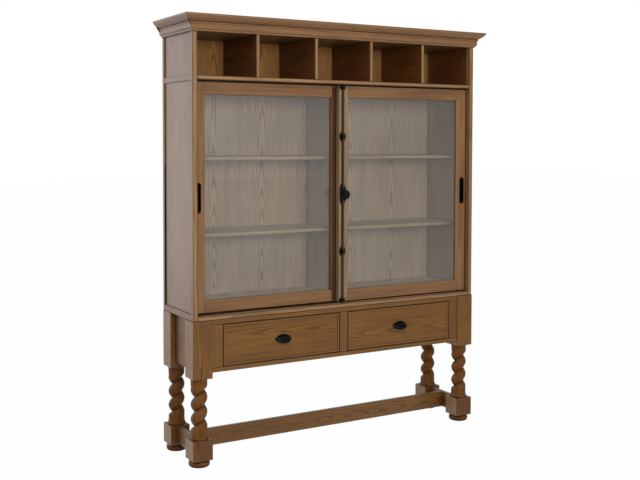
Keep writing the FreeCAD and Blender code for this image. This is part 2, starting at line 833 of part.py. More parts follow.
def pinion_face():
    """Pinion outline in the plane y = 0 about the origin, with a tooth on each side in X."""
    base = pitch_radius * math.cos(math.radians(pressure_angle))
    tip = pitch_radius + pinion_addendum
    root = pitch_radius - pinion_dedendum
    half_pitch = math.pi / (2 * pinion_teeth) - tooth_backlash / pitch_radius
    flank = half_pitch + involute(math.radians(pressure_angle))
    points = []
    for tooth in range(pinion_teeth):
        centre = 2 * math.pi * tooth / pinion_teeth
        right = [(root, flank)]
        for step in range(pinion_flank_steps + 1):
            radius = base + (tip - base) * step / pinion_flank_steps
            right.append((radius, flank - involute(math.acos(base / radius))))
        for radius, offset in right:
            points.append((radius * math.cos(centre - offset), radius * math.sin(centre - offset)))
        for radius, offset in reversed(right):
            points.append((radius * math.cos(centre + offset), radius * math.sin(centre + offset)))
    return points


def rack(bottom, top):
    """Toothed bar to the left of the pinion axis, its teeth facing +X, about the origin in X, Z."""
    pitch = math.pi * pinion_module
    slope = math.tan(math.radians(pressure_angle))
    back_face = -pitch_radius - pinion_dedendum - rack_bar
    root = -pitch_radius - pinion_dedendum
    tip = -pitch_radius + pinion_addendum
    half_flat = pitch / 4 - tooth_backlash
    half_tip = half_flat - pinion_addendum * slope
    half_root = half_flat + pinion_dedendum * slope
    points = [(back_face, bottom), (root, bottom)]
    first = math.ceil((bottom + half_root) / pitch - 0.5)
    last = math.floor((top - half_root) / pitch - 0.5)
    for index in range(first, last + 1):
        centre = (index + 0.5) * pitch
        points += [(root, centre - half_root), (tip, centre - half_tip),
                   (tip, centre + half_tip), (root, centre + half_root)]
    points += [(root, top), (back_face, top)]
    return points


rack_reach = bolt_throw + pitch_radius
pinion_y = bolt_y - pinion_thickness / 2


def make_rod(tip_z):
    """Upper bolt rod about the knob axis: rack beside the pinion, foot and round rod above."""
    foot_top = case_height_inside / 2 - bolt_throw - rack_gap
    bar_side = -pitch_radius - pinion_dedendum - rack_bar
    pinion_back = pinion_y + pinion_thickness
    bar = prism_y(rack(-rack_reach, foot_top - rack_foot), pinion_y, pinion_back)
    foot = box(bar_side, rod_radius, pinion_y, pinion_back, foot_top - rack_foot, foot_top)
    shaft = rod(V(0, bolt_y, foot_top), V(0, 0, 1), rod_radius, tip_z - foot_top)
    return bar.fuse([foot, shaft]).removeSplitter()


def saddle_guide(plate_height, waist):
    """Shaped plate on the door face with a half-round saddle over the rod, about z = 0."""
    half_width, half_height = guide_plate_width / 2, plate_height / 2
    shoulder = half_height * guide_shoulder
    plate_face = front_door_y - case_plate
    plate = prism_y([(-half_width, 0), (-waist, shoulder), (0, half_height, "arc"),
                     (waist, shoulder), (half_width, 0), (waist, -shoulder),
                     (0, -half_height, "arc"), (-waist, -shoulder)], plate_face, front_door_y)
    outer = rod_radius + shaft_gap + saddle_wall
    half_length = min(saddle_length, plate_height) / 2
    saddle = rod(V(0, bolt_y, -half_length), V(0, 0, 1), outer, 2 * half_length)
    cheeks = box(-outer, outer, bolt_y, plate_face, -half_length, half_length)
    bore = rod(V(0, bolt_y, -plate_height), V(0, 0, 1), rod_radius + shaft_gap, 2 * plate_height)
    behind = box(-half_width, half_width, front_door_y, front_door_y + outer,
                 -half_height, half_height)
    return plate.fuse([saddle, cheeks]).cut(bore).cut(behind).removeSplitter()


def screw_at(x, z, face_y):
    """Small wood screw through a plate: (screw, its hole)."""
    start = V(x, face_y, z)
    screw = rod(start, V(0, 1, 0), screw_radius, screw_length)
    head = rod(start, V(0, -1, 0), screw_head_radius, screw_head_height)
    hole = rod(start, V(0, 1, 0), screw_radius + shaft_gap, screw_length + shaft_gap)
    return screw.fuse(head), hole


def case_plate_outline():
    """Waisted plate with two lobes and rounded ends, about the origin."""
    half_width, half_height = case_plate_width / 2, case_plate_height / 2
    end_side, end_z = half_width * case_end_side, half_height * case_end_rise
    waist = half_width * case_waist
    return [(-end_side, -end_z), (0, -half_height, "arc"), (end_side, -end_z),
            (half_width, -case_lobe_rise, "arc"), (waist, 0),
            (half_width, case_lobe_rise, "arc"), (end_side, end_z),
            (0, half_height, "arc"), (-end_side, end_z),
            (-half_width, case_lobe_rise, "arc"), (-waist, 0),
            (-half_width, -case_lobe_rise, "arc")]


def make_cremone():
    """The bolt on the front door; returns the cuts that the door's stile needs."""
    plate_face = front_door_y - case_plate
    plate = prism_y(case_plate_outline(), plate_face, front_door_y)
    half_in = case_width_inside / 2
    tall = case_height_inside / 2
    hollow_front = pinion_y - rack_gap
    shell = box(-half_in - case_wall, half_in + case_wall, hollow_front - case_wall,
                front_door_y, -tall - case_wall, tall + case_wall)
    hollow = box(-half_in, half_in, hollow_front, front_door_y + overcut, -tall, tall)
    rod_way = rod(V(0, bolt_y, -case_plate_height), V(0, 0, 1), rod_radius + shaft_gap,
                  2 * case_plate_height)
    neck_hole = rod(V(0, hollow_front + overcut, 0), V(0, -1, 0), neck_radius + shaft_gap,
                    case_wall + 2 * overcut)
    case = plate.fuse(shell).cut(hollow).cut(rod_way).cut(neck_hole).removeSplitter()
    case = moved(case, bolt_x, 0, knob_z)

    screws, holes, guides = [], [], []
    for x in (-case_screw_side, case_screw_side):
        for z in (-case_screw_rise, case_screw_rise):
            screw, hole = screw_at(bolt_x + x, knob_z + z, plate_face)
            screws.append(screw)
            holes.append(hole)
            case = case.cut(hole)
    waisted, plain = guide_plate_width * guide_waist, guide_plate_width * end_plate_waist
    guide_levels = [(knob_z + mid_guide_offset, guide_plate_height, waisted),
                    (knob_z - mid_guide_offset, guide_plate_height, waisted),
                    (door_top - end_plate_height / 2, end_plate_height, plain),
                    (door_bottom + end_plate_height / 2, end_plate_height, plain)]
    for z, plate_height, waist in guide_levels:
        guide = moved(saddle_guide(plate_height, waist), bolt_x, 0, z)
        for side in (-guide_screw_side, guide_screw_side):
            screw, hole = screw_at(bolt_x + side, z, plate_face)
            screws.append(screw)
            holes.append(hole)
            guide = guide.cut(hole)
        guides.append(guide)
    keep("cremone_case", case)
    keep("cremone_guides", *guides)
    keep("cremone_screws", *screws)

    half_side = spindle_side / 2
    tail_start = pinion_y + pinion_thickness
    neck_front = hollow_front - case_wall - knob_reach + knob_depth / 2
    neck_length = pinion_y - neck_front
    knob = Part.makeSphere(1.0)
    stretch = FreeCAD.Matrix()
    stretch.scale(V(knob_width / 2, knob_depth / 2, knob_tall / 2))
    knob = moved(knob.transformGeometry(stretch), y=neck_front)
    neck = rod(V(0, neck_front, 0), V(0, 1, 0), neck_radius, neck_length)
    square = box(-half_side, half_side, pinion_y, tail_start, -half_side, half_side)
    tail = rod(V(0, tail_start, 0), V(0, 1, 0), half_side,
               front_door_y - tail_start + spindle_tail)
    keep("cremone_knob", moved(knob.fuse([neck, square, tail]).removeSplitter(),
                               bolt_x, 0, knob_z))
    holes.append(rod(V(bolt_x, front_door_y, knob_z), V(0, 1, 0), half_side + shaft_gap,
                     spindle_tail + shaft_gap))
    gear = prism_y(pinion_face(), pinion_y, pinion_y + pinion_thickness)
    keep("cremone_pinion", moved(gear.cut(square), bolt_x, 0, knob_z))

    upper = make_rod(door_head - rod_rest_gap - knob_z)
    lower = make_rod(knob_z - sill - rod_rest_gap)
    lower = lower.mirror(V(0, 0, 0), V(1, 0, 0)).mirror(V(0, 0, 0), V(0, 0, 1))
    keep("upper_bolt_rod", moved(upper, bolt_x, 0, knob_z))
    keep("lower_bolt_rod", moved(lower, bolt_x, 0, knob_z))
    return holes


make_stand()
make_runners()
make_drawer("left", True)
make_drawer("right", False)
make_boards()
side_holes = make_interior()
make_hutch_side("left", True, side_holes)
make_hutch_side("right", False, side_holes)
make_cornice()
make_tracks()
stile_cuts = make_cremone()
make_door("left", left_door_x, rear_door_y,
          (left_door_x + flush_pull_inset, rear_door_y, knob_z), [])
make_door("right", right_door_x, front_door_y,
          (right_door_x + door_width - flush_pull_inset, front_door_y, knob_z), stile_cuts)

os.makedirs("parts", exist_ok=True)
for name, solids in nodes.items():
    shape = solids[0] if len(solids) == 1 else Part.makeCompound(solids)
    shape.exportStep("parts/" + name + ".step")
    print(name, len(shape.Solids), round(shape.Volume), shape.isValid())
print(len(nodes), "nodes")
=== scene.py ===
import json
import math
import random

import bmesh
import bpy
from mathutils import Matrix, Vector

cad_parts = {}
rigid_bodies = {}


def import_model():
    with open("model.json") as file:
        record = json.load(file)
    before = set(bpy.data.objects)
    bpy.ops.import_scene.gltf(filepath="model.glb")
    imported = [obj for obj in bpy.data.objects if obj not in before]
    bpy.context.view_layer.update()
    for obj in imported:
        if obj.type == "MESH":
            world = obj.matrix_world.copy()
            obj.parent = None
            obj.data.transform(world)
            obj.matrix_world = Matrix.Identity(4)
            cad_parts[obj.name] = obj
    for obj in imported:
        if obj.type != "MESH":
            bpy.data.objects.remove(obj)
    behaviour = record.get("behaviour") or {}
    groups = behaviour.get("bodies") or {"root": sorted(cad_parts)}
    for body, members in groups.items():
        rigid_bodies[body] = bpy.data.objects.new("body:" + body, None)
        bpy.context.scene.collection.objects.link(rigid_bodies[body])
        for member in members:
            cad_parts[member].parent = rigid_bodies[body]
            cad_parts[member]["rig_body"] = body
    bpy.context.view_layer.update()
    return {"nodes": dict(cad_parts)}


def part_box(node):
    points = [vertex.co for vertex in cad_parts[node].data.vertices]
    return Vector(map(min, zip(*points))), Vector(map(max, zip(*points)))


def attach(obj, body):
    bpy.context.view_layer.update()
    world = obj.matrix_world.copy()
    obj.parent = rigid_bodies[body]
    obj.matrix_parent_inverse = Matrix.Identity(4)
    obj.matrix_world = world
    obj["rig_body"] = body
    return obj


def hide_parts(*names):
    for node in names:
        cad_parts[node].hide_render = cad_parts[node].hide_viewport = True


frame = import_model()
mm = 0.001
print("frame loaded:", len(frame["nodes"]), "solids' nodes")


def fromHex(code):
    channels = [int(code[at:at + 2], 16) / 255 for at in (1, 3, 5)]
    return tuple(c / 12.92 if c <= 0.04045 else ((c + 0.055) / 1.055) ** 2.4
                 for c in channels) + (1.0,)


def addNode(tree, kind, inputs=(), **settings):
    # Inputs are a list by position, or go by name or number. A link may be given as a socket, or
    # as a node, which stands for its first output, and a colour by its hex code.
    node = tree.nodes.new(kind)
    for name, value in settings.items():
        setattr(node, name, value)
    for key, value in inputs.items() if isinstance(inputs, dict) else enumerate(inputs):
        if isinstance(value, str) and value.startswith("#"):
            value = fromHex(value)
        if isinstance(value, bpy.types.Node):
            value = value.outputs[0]
        if isinstance(value, bpy.types.NodeSocket):
            tree.links.new(value, node.inputs[key])
        else:
            node.inputs[key].default_value = value
    return node


def addMath(tree, operation, *values, clamp=False):
    return addNode(tree, "ShaderNodeMath", values, operation=operation, use_clamp=clamp)


def addVectorMath(tree, operation, *values):
    return addNode(tree, "ShaderNodeVectorMath", values, operation=operation)


def addRemap(tree, value, span, ends=(0.0, 1.0), smooth=False):
    # Goes from the first of the ends to the second while the value goes over its span.
    return addNode(tree, "ShaderNodeMapRange", {"Value": value, "From Min": span[0],
                   "From Max": span[1], "To Min": ends[0], "To Max": ends[1]},
                   interpolation_type="SMOOTHSTEP" if smooth else "LINEAR")


def addMix(tree, share, first, second):
    return addNode(tree, "ShaderNodeMix", {0: share, 6: first, 7: second},
                   data_type="RGBA").outputs[2]


def addNoise(tree, place, scale, detail, roughness=0.5):
    return addNode(tree, "ShaderNodeTexNoise", {"Vector": place, "Scale": scale,
                   "Detail": detail, "Roughness": roughness})


def addSkin(tree, inputs):
    skin = addNode(tree, "ShaderNodeBsdfPrincipled", inputs)
    addNode(tree, "ShaderNodeOutputMaterial", {"Surface": skin})


def addSocket(tree, name, kind, way="INPUT"):
    tree.interface.new_socket(name, in_out=way, socket_type="NodeSocket" + kind)


def newObject(name, data):
    piece = bpy.data.objects.new(name, data)
    bpy.context.scene.collection.objects.link(piece)
    return piece


def emptyMaterial(name):
    material = bpy.data.materials.new(name)
    material.use_nodes = True
    material.node_tree.nodes.clear()
    return material


# Oak, stained brown and rubbed to a satin. The stain sits in the open pores of the early wood, so
# the growth rings read as dark lines. A dark line runs along the arrises, partly a wiped-on glaze
# and partly painted shade of the gaps. The corners and grooves are darkened as painted shade, with
# glaze settled there too. The wood just beside the arrises is painted paler, partly rubbed wear
# and partly a painted highlight on the eased edge. Lengths are in mm. Real pores are 0.3 mm wide:
# they are drawn as wide as poreWidth, so that they show.
oak = {
    "ringSpacing": 5.4, "ringWander": 16.0,
    "porous": (0.05, 0.55), "porousAgain": 0.86,    # shares of a ring, early wood to early wood
    "poreWidth": 1.5, "poreLength": 42.0, "poreDepth": 0.25,
    "streakWidth": 4.6, "streakLength": 190.0,
    "solidFigure": (0.68, 0.42), "leafFigure": (0.78, 0.2),     # how far rings and streaks show
    "boardShade": 0.09, "leafShade": 0.10,
    "lineCore": 1.4, "lineReach": 3.8, "wearAndHighlightReach": 10.0, "cornerGlazeAndShade": (0.40, 0.92),
    "roughness": (0.40, 0.56),
    # colours of the pale band beside the arrises (partly wear, partly a painted highlight) and of
    # the dark arris lines and corners (partly glaze, partly painted shade)
    "rubbedAndHighlit": "#b08658", "glazeAndShade": "#220f06",
}


def alongGrain(length, width):
    # Scale of a pattern whose marks are this long and this wide, in mm.
    return 1000 / length, 1000 / width, 1000 / width


def makeOak(name, pale, dark, contrast=1.0, line=0.8, wearAndHighlight=0.3, glazeAndShade=0.8, reach=10.0, leaf=0.0,
            shine=0.5):
    material = emptyMaterial(name)
    tree = material.node_tree
    coord, half, heart = [
        addNode(tree, "ShaderNodeAttribute", attribute_name=name).outputs["Vector"]
        for name in ("boardCoord", "boardHalf", "boardHeart")]
    tone = addNode(tree, "ShaderNodeAttribute", attribute_name="boardTone").outputs["Fac"]
    along, across, through = addNode(tree, "ShaderNodeSeparateXYZ", [coord]).outputs
    slope, heartSide, heartDepth = addNode(tree, "ShaderNodeSeparateXYZ", [heart]).outputs

    if leaf:    # veneer laid in leaves side by side, each with its own heart
        shifted = addMath(tree, "ADD", across, heartSide)
        leaves = addMath(tree, "DIVIDE", shifted, leaf * mm)
        which = addMath(tree, "FLOOR", leaves)
        place = addMath(tree, "FRACT", leaves)
        centred = addMath(tree, "SUBTRACT", place, 0.5)
        side = addMath(tree, "MULTIPLY", centred, leaf * mm)
        shade = addNode(tree, "ShaderNodeTexWhiteNoise", {"W": which}, noise_dimensions="1D")
    else:
        which = None
        side = addMath(tree, "SUBTRACT", across, heartSide)

    # the log's rings, round a heart that slopes through the board
    slow = addVectorMath(tree, "MULTIPLY", coord, (1.3, 5.0, 5.0))
    spread = addNode(tree, "ShaderNodeVectorMath", {0: heart, 3: 90.0}, operation="SCALE")
    if which:
        step = addVectorMath(tree, "MULTIPLY", which, (3.7, 5.1, 9.3))
        spread = addVectorMath(tree, "ADD", spread, step)
    slow = addVectorMath(tree, "ADD", slow, spread)
    wander = addNoise(tree, slow, scale=1.0, detail=2.0)
    wander = addVectorMath(tree, "SUBTRACT", wander.outputs["Color"], (0.5, 0.5, 0.5))
    wander = addNode(tree, "ShaderNodeVectorMath", {0: wander, 3: 2 * oak["ringWander"] * mm},
                     operation="SCALE")
    lean = addMath(tree, "MULTIPLY_ADD", along, slope, heartDepth)
    deep = addMath(tree, "SUBTRACT", through, lean)
    fromHeart = addNode(tree, "ShaderNodeCombineXYZ", {"Y": side, "Z": deep})
    fromHeart = addVectorMath(tree, "ADD", fromHeart, wander)
    fromHeart = addVectorMath(tree, "MULTIPLY", fromHeart, (0.0, 1.0, 1.0))
    radius = addVectorMath(tree, "LENGTH", fromHeart)
    rings = addMath(tree, "DIVIDE", radius.outputs["Value"], oak["ringSpacing"] * mm)

    # pores and broader streaks, both stretched along the grain
    poreSpace = addVectorMath(tree, "MULTIPLY", coord,
                              alongGrain(oak["poreLength"], oak["poreWidth"]))
    pores = addNoise(tree, poreSpace, scale=0.5, detail=2.0, roughness=0.6)
    streakSpace = addVectorMath(tree, "MULTIPLY", coord,
                                alongGrain(oak["streakLength"], oak["streakWidth"]))
    streakSpace = addVectorMath(tree, "ADD", streakSpace, spread)
    streaks = addNoise(tree, streakSpace, scale=0.5, detail=3.0, roughness=0.6)

    jitter = addMath(tree, "MULTIPLY_ADD", streaks, 0.5, rings)
    ring = addMath(tree, "FRACT", jitter)
    opening = addRemap(tree, ring, oak["porous"], (1.0, 0.0), smooth=True)
    closing = addRemap(tree, ring, (oak["porousAgain"], 1.0), smooth=True)
    early = addMath(tree, "ADD", opening, closing, clamp=True)
    poreShare = addRemap(tree, pores, (0.42, 0.66))
    streakShare = addRemap(tree, streaks, (0.34, 0.68))
    filled = addMath(tree, "MULTIPLY_ADD", poreShare, 0.5, 0.5)
    stained = addMath(tree, "MULTIPLY", early, filled)
    ringShow, streakShow = oak["leafFigure"] if leaf else oak["solidFigure"]
    strokes = addMath(tree, "MULTIPLY", streakShare, streakShow)
    depth = addMath(tree, "MULTIPLY_ADD", stained, ringShow, strokes)
    depth = addMath(tree, "MULTIPLY", depth, contrast, clamp=True)
    colour = addMix(tree, depth, pale, dark)

    # each board, and each leaf of veneer, is a shade of its own, and clouded
    cloud = addNoise(tree, slow, scale=2.3, detail=1.0)
    value = addRemap(tree, cloud, (0.3, 0.7), (0.9, 1.1))
    value = addMath(tree, "MULTIPLY_ADD", tone, oak["boardShade"], value)
    if which:
        value = addMath(tree, "MULTIPLY_ADD", shade, oak["leafShade"], value)
        value = addMath(tree, "SUBTRACT", value, oak["leafShade"] / 2)
    colour = addNode(tree, "ShaderNodeHueSaturation", {"Value": value, "Color": colour})

    # distance to the board's nearest edge: the middle one of the distances to its three sides
    inwards = addVectorMath(tree, "ABSOLUTE", coord)
    inwards = addVectorMath(tree, "SUBTRACT", half, inwards)
    toEnd, toSide, toFace = addNode(tree, "ShaderNodeSeparateXYZ", [inwards]).outputs
    nearer = addMath(tree, "MINIMUM", toEnd, toSide)
    further = addMath(tree, "MAXIMUM", toEnd, toSide)
    capped = addMath(tree, "MINIMUM", further, toFace)
    edge = addMath(tree, "MAXIMUM", nearer, capped)
    # the wood just beside the arrises is painted paler: partly rubbed wear, partly a painted
    # highlight on the eased edge
    rubbedAndHighlit = addRemap(tree, edge, (0.0, oak["wearAndHighlightReach"] * mm), (wearAndHighlight, 0.0), smooth=True)
    patches = addRemap(tree, streaks, (0.35, 0.6), (0.25, 1.0))
    rubbedAndHighlit = addMath(tree, "MULTIPLY", rubbedAndHighlit, patches)
    colour = addMix(tree, rubbedAndHighlit, colour, oak["rubbedAndHighlit"])
    # a dark line along each arris: partly glaze in the joints, partly painted shade of the gaps
    # beside it
    arris = addRemap(tree, edge, (oak["lineCore"] * mm, oak["lineReach"] * mm), (line, 0.0),
                     smooth=True)
    # painted shade: the wood is darkened in corners and grooves where less light reaches, with
    # some glaze settled there too
    corner = addNode(tree, "ShaderNodeAmbientOcclusion", {"Distance": reach * mm}, samples=8)
    corner = addRemap(tree, corner.outputs["AO"], oak["cornerGlazeAndShade"], (glazeAndShade, 0.0))
    glazeAndShadeMask = addMath(tree, "MAXIMUM", arris, corner)
    colour = addMix(tree, glazeAndShadeMask, colour, oak["glazeAndShade"])

    gloss = addRemap(tree, depth, (0.0, 1.0), oak["roughness"])
    bump = addNode(tree, "ShaderNodeBump", {"Height": depth, "Strength": 0.5,
                   "Distance": oak["poreDepth"] * mm}, invert=True)
    addSkin(tree, {"Base Color": colour, "Roughness": gloss, "Normal": bump, "IOR": 1.5,
                   "Specular IOR Level": shine})
    return material


hutchOak = makeOak("satinStainedOakHutch", "#8d6b4a", "#4f2f19", contrast=0.85)
standOak = makeOak("satinStainedOakStand", "#7c5729", "#422109", contrast=0.9)
# painted light: a paler copy of the stand's oak for the leg blocks' faces that look sideways
sideOak = makeOak("satinStainedOakPaintedLitSides", "#99734a", "#583c23", contrast=0.8)
# the turnings' grooves and undersides are darkened out to 26 mm: painted shade, with some glaze
turnedOak = makeOak("satinStainedOakTurned", "#7a5027", "#361a09", glazeAndShade=0.95, reach=26.0,
                    shine=0.15)
lowBlockOak = makeOak("satinStainedOakLowBlocks", "#6a4216", "#361a06", contrast=0.9, line=1.0)
# painted shade: the left door's stile behind the right door, painted darker as in its shadow
rearStileOak = makeOak("paintedShadeOakRearStile", "#54301a", "#2c140a", contrast=0.85, glazeAndShade=0.95)
# the right door's stile in front where the doors meet, painted paler and greyer
frontStileOak = makeOak("paleGreyOakFrontStile", "#907a62", "#5d4938", contrast=0.85)
edgeOak = makeOak("satinStainedOakEdgeBand", "#937553", "#61442b", contrast=0.8)
veneerOak = makeOak("satinStainedOakVeneer", "#8a6a48", "#593d27", contrast=0.7, leaf=275.0)
shelfEdgeOak = makeOak("greyStainedOakShelfBand", "#8f7d69", "#6b5a48", line=0.5)
innerOak = makeOak("paleStainedOakInterior", "#9f8b7a", "#574536", contrast=1.05, line=0.5,
                   glazeAndShade=0.6, leaf=275.0)
cubbyBackOak = makeOak("stainedOakCubbyBacks", "#926b3f", "#4a2c15", leaf=275.0)
# painted shade: the cubbies' walls, painted dark as they stand in shadow
cubbySideOak = makeOak("paintedShadeOakCubbySides", "#6b3f1d", "#3a1b0b", line=0.5, glazeAndShade=0.9)
drawerOak = makeOak("clearLacqueredOakDrawerBox", "#b39468", "#866340", contrast=0.8,
                    line=0.2, wearAndHighlight=0.1, glazeAndShade=0.4)
print("oak finishes made")


# Cast fittings in oil-rubbed bronze: a near-black patina on metal, rubbed paler on the high
# spots. The cloudy patina changes over about 6 mm.
bronze = {"cloud": 6.0, "roughness": (0.30, 0.52)}


def makeBronze(name, patina, worn):
    material = emptyMaterial(name)
    tree = material.node_tree
    place = addNode(tree, "ShaderNodeTexCoord").outputs["Object"]
    cloud = addNoise(tree, place, scale=1000 / bronze["cloud"], detail=3.0, roughness=0.6)
    shape = addNode(tree, "ShaderNodeNewGeometry").outputs["Pointiness"]
    high = addRemap(tree, shape, (0.5, 0.62), (0.0, 0.8))
    patches = addRemap(tree, cloud, (0.42, 0.7), (0.0, 0.45))
    bare = addMath(tree, "ADD", high, patches, clamp=True)
    colour = addMix(tree, bare, patina, worn)
    gloss = addRemap(tree, cloud, (0.3, 0.7), bronze["roughness"])
    bump = addNode(tree, "ShaderNodeBump", {"Height": cloud, "Strength": 0.3,
                   "Distance": 0.15 * mm})
    addSkin(tree, {"Base Color": colour, "Metallic": 1.0, "Roughness": gloss, "Normal": bump})
    return material


# Turned brass shelf pins, unlacquered: a warm metal with fine lines and dull spots.
brass = {"metal": "#a9854c", "tarnish": "#6d5430", "lineWidth": 0.6, "lineLength": 60.0}


def makeBrass():
    material = emptyMaterial("turnedBrass")
    tree = material.node_tree
    place = addNode(tree, "ShaderNodeTexCoord").outputs["Object"]
    lines = addVectorMath(tree, "MULTIPLY", place,
                          alongGrain(brass["lineLength"], brass["lineWidth"]))
    lines = addNoise(tree, lines, scale=1.0, detail=2.0)
    spots = addNoise(tree, place, scale=60.0, detail=3.0)
    dull = addRemap(tree, spots, (0.4, 0.7), (0.1, 0.8))
    colour = addMix(tree, dull, brass["metal"], brass["tarnish"])
    gloss = addRemap(tree, lines, (0.3, 0.7), (0.28, 0.46))
    addSkin(tree, {"Base Color": colour, "Metallic": 1.0, "Roughness": gloss})
    return material


# Moulded nylon glides: dark brown, slightly waxy, with scuffs from running.
def makeNylon():
    material = emptyMaterial("mouldedNylon")
    tree = material.node_tree
    place = addNode(tree, "ShaderNodeTexCoord").outputs["Object"]
    scuffs = addNoise(tree, place, scale=220.0, detail=3.0, roughness=0.7)
    colour = addMix(tree, scuffs, "#2c211a", "#3d3028")
    gloss = addRemap(tree, scuffs, (0.3, 0.7), (0.35, 0.55))
    addSkin(tree, {"Base Color": colour, "Roughness": gloss, "IOR": 1.53})
    return material


# Float glass, 4 mm: clear, mirror-smooth, with a faint haze of dust and polish on it. Lamps and
# the room's light pass straight through, as they do through a real pane.
def makeGlass():
    material = emptyMaterial("floatGlass")
    tree = material.node_tree
    clean = addNode(tree, "ShaderNodeBsdfPrincipled", {"Base Color": "#f7f8f6",
                    "Roughness": 0.0, "IOR": 1.52, "Transmission Weight": 1.0})
    place = addNode(tree, "ShaderNodeTexCoord").outputs["Object"]
    wiped = addNoise(tree, place, scale=3.0, detail=2.0)
    wiped = addRemap(tree, wiped, (0.3, 0.7), (0.02, 0.035))
    haze = addNode(tree, "ShaderNodeBsdfDiffuse", {"Color": "#fbf7f4"})
    pane = addNode(tree, "ShaderNodeMixShader", [wiped, clean, haze])
    clear = addNode(tree, "ShaderNodeBsdfTransparent", {"Color": "#f7f8f6"})
    rays = addNode(tree, "ShaderNodeLightPath")
    passed = addMath(tree, "MAXIMUM", rays.outputs["Is Shadow Ray"],
                     rays.outputs["Is Diffuse Ray"])
    both = addNode(tree, "ShaderNodeMixShader", [passed, pane, clear])
    addNode(tree, "ShaderNodeOutputMaterial", {"Surface": both})
    return material


bronzeFinish = makeBronze("oilRubbedBronzeCast", "#1d1d1e", "#444340")
rodFinish = makeBronze("oilRubbedBronzeDrawnRod", "#43362b", "#75604a")
brassFinish = makeBrass()
nylonFinish = makeNylon()
glassFinish = makeGlass()
print("metal, nylon and glass finishes made")


def bodyOf(node):
    return frame["nodes"][node]["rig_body"]


def islandsOf(mesh):
    links = [[] for _ in mesh.vertices]
    for edge in mesh.edges:
        first, second = edge.vertices
        links[first].append(second)
        links[second].append(first)
    seen = [False] * len(links)
    for start in range(len(links)):
        if seen[start]:
            continue
        seen[start] = True
        island, waiting = [start], [start]
        while waiting:
            for near in links[waiting.pop()]:
                if not seen[near]:
                    seen[near] = True
                    island.append(near)
                    waiting.append(near)
        yield island


def spanOf(mesh, island):
    points = [mesh.vertices[at].co for at in island]
    return [Vector([pick(point[axis] for point in points) for axis in range(3)])
            for pick in (min, max)]


def markBoards(mesh, grain, cut, seed):
    # Each board gets its own axes, along, across and through the grain, and its place in a log.
    chance = random.Random(seed)
    count = len(mesh.vertices)
    coords, halves, hearts = [0.0] * (3 * count), [0.0] * (3 * count), [0.0] * (3 * count)
    tones = [0.0] * count
    for island in islandsOf(mesh):
        low, high = spanOf(mesh, island)
        size = [high[axis] - low[axis] for axis in range(3)]
        level = sorted(range(2), key=lambda axis: -size[axis])
        along = {"long": max(range(3), key=lambda axis: size[axis]), "up": 2,
                 "level": level[0]}[grain]
        across, through = sorted((axis for axis in range(3) if axis != along),
                                 key=lambda axis: -size[axis])
        axes = (along, across, through)
        half = [size[axis] / 2 for axis in axes]
        middle = [(low[axis] + high[axis]) / 2 for axis in axes]
        slope = chance.choice((-1, 1)) * chance.uniform(0.02, 0.05)
        if cut == "flat":       # sawn near the heart: arched figure
            heart = (slope, chance.uniform(-0.5, 0.5) * half[1],
                     -half[2] - chance.uniform(0.018, 0.05))
        else:                   # sawn to the side of the heart: straight figure
            heart = (slope * 0.3, chance.choice((-1, 1)) * (half[1] + chance.uniform(0.05, 0.12)),
                     chance.uniform(-0.03, 0.03))
        tone = chance.uniform(-1, 1)
        for at in island:
            for slot, axis in enumerate(axes):
                coords[3 * at + slot] = mesh.vertices[at].co[axis] - middle[slot]
                halves[3 * at + slot] = half[slot]
                hearts[3 * at + slot] = heart[slot]
            tones[at] = tone
    for name, values in (("boardCoord", coords), ("boardHalf", halves), ("boardHeart", hearts)):
        layer = mesh.attributes.new(name, "FLOAT_VECTOR", "POINT")
        layer.data.foreach_set("vector", values)
    mesh.attributes.new("boardTone", "FLOAT", "POINT").data.foreach_set("value", tones)


# How meshes are dressed: degrees and mm.
dressing = {"flatWithin": 0.4, "cornerOver": 28.0, "smoothUnder": 14.0, "stripUnder": 12.0,
            "castSmoothUnder": 24.0}
mergeWithin = 1e-6


def finishMesh(bm, name, finish=None, smoothAngle=dressing["smoothUnder"]):
    mesh = bpy.data.meshes.new(name)
    bm.to_mesh(mesh)
    bm.free()
    if finish:
        mesh.materials.append(finish)
    # normals brought over from the solid no longer fit, and go
    stale = mesh.attributes.get("custom_normal")
    if stale:
        mesh.attributes.remove(stale)
    mesh.set_sharp_from_angle(angle=math.radians(smoothAngle))
    # narrow strips of a curve are shaded smooth, broad flat faces are not
    for face in mesh.polygons:
        rim = [mesh.vertices[at].co for at in face.vertices]
        around = sum((near - far).length for near, far in zip(rim, rim[1:] + rim[:1]))
        face.use_smooth = 2 * face.area < dressing["stripUnder"] * mm * around
    mesh.update()
    return newObject(name, mesh)


def easedCopy(node, ease):
    # The solid's own shape with its outer corners eased, as sandpaper or a file leaves them.
    bm = bmesh.new()
    bm.from_mesh(frame["nodes"][node].data)
    bmesh.ops.remove_doubles(bm, verts=bm.verts, dist=mergeWithin)
    bmesh.ops.dissolve_limit(bm, angle_limit=math.radians(dressing["flatWithin"]),
                             verts=bm.verts, edges=bm.edges)
    corners = [edge for edge in bm.edges if edge.is_convex
               and edge.calc_face_angle(0.0) > math.radians(dressing["cornerOver"])]
    bmesh.ops.bevel(bm, geom=corners, offset=ease, segments=2, profile=0.5, affect="EDGES",
                    clamp_overlap=False)
    return bm


def recolourFaces(piece, finish, chosen):
    # One more finish on the piece, for the faces that chosen picks out.
    piece.data.materials.append(finish)
    for face in piece.data.polygons:
        if chosen(face):
            face.material_index = len(piece.data.materials) - 1


def fitPiece(piece, body, nodes):
    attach(piece, body)
    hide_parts(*nodes)


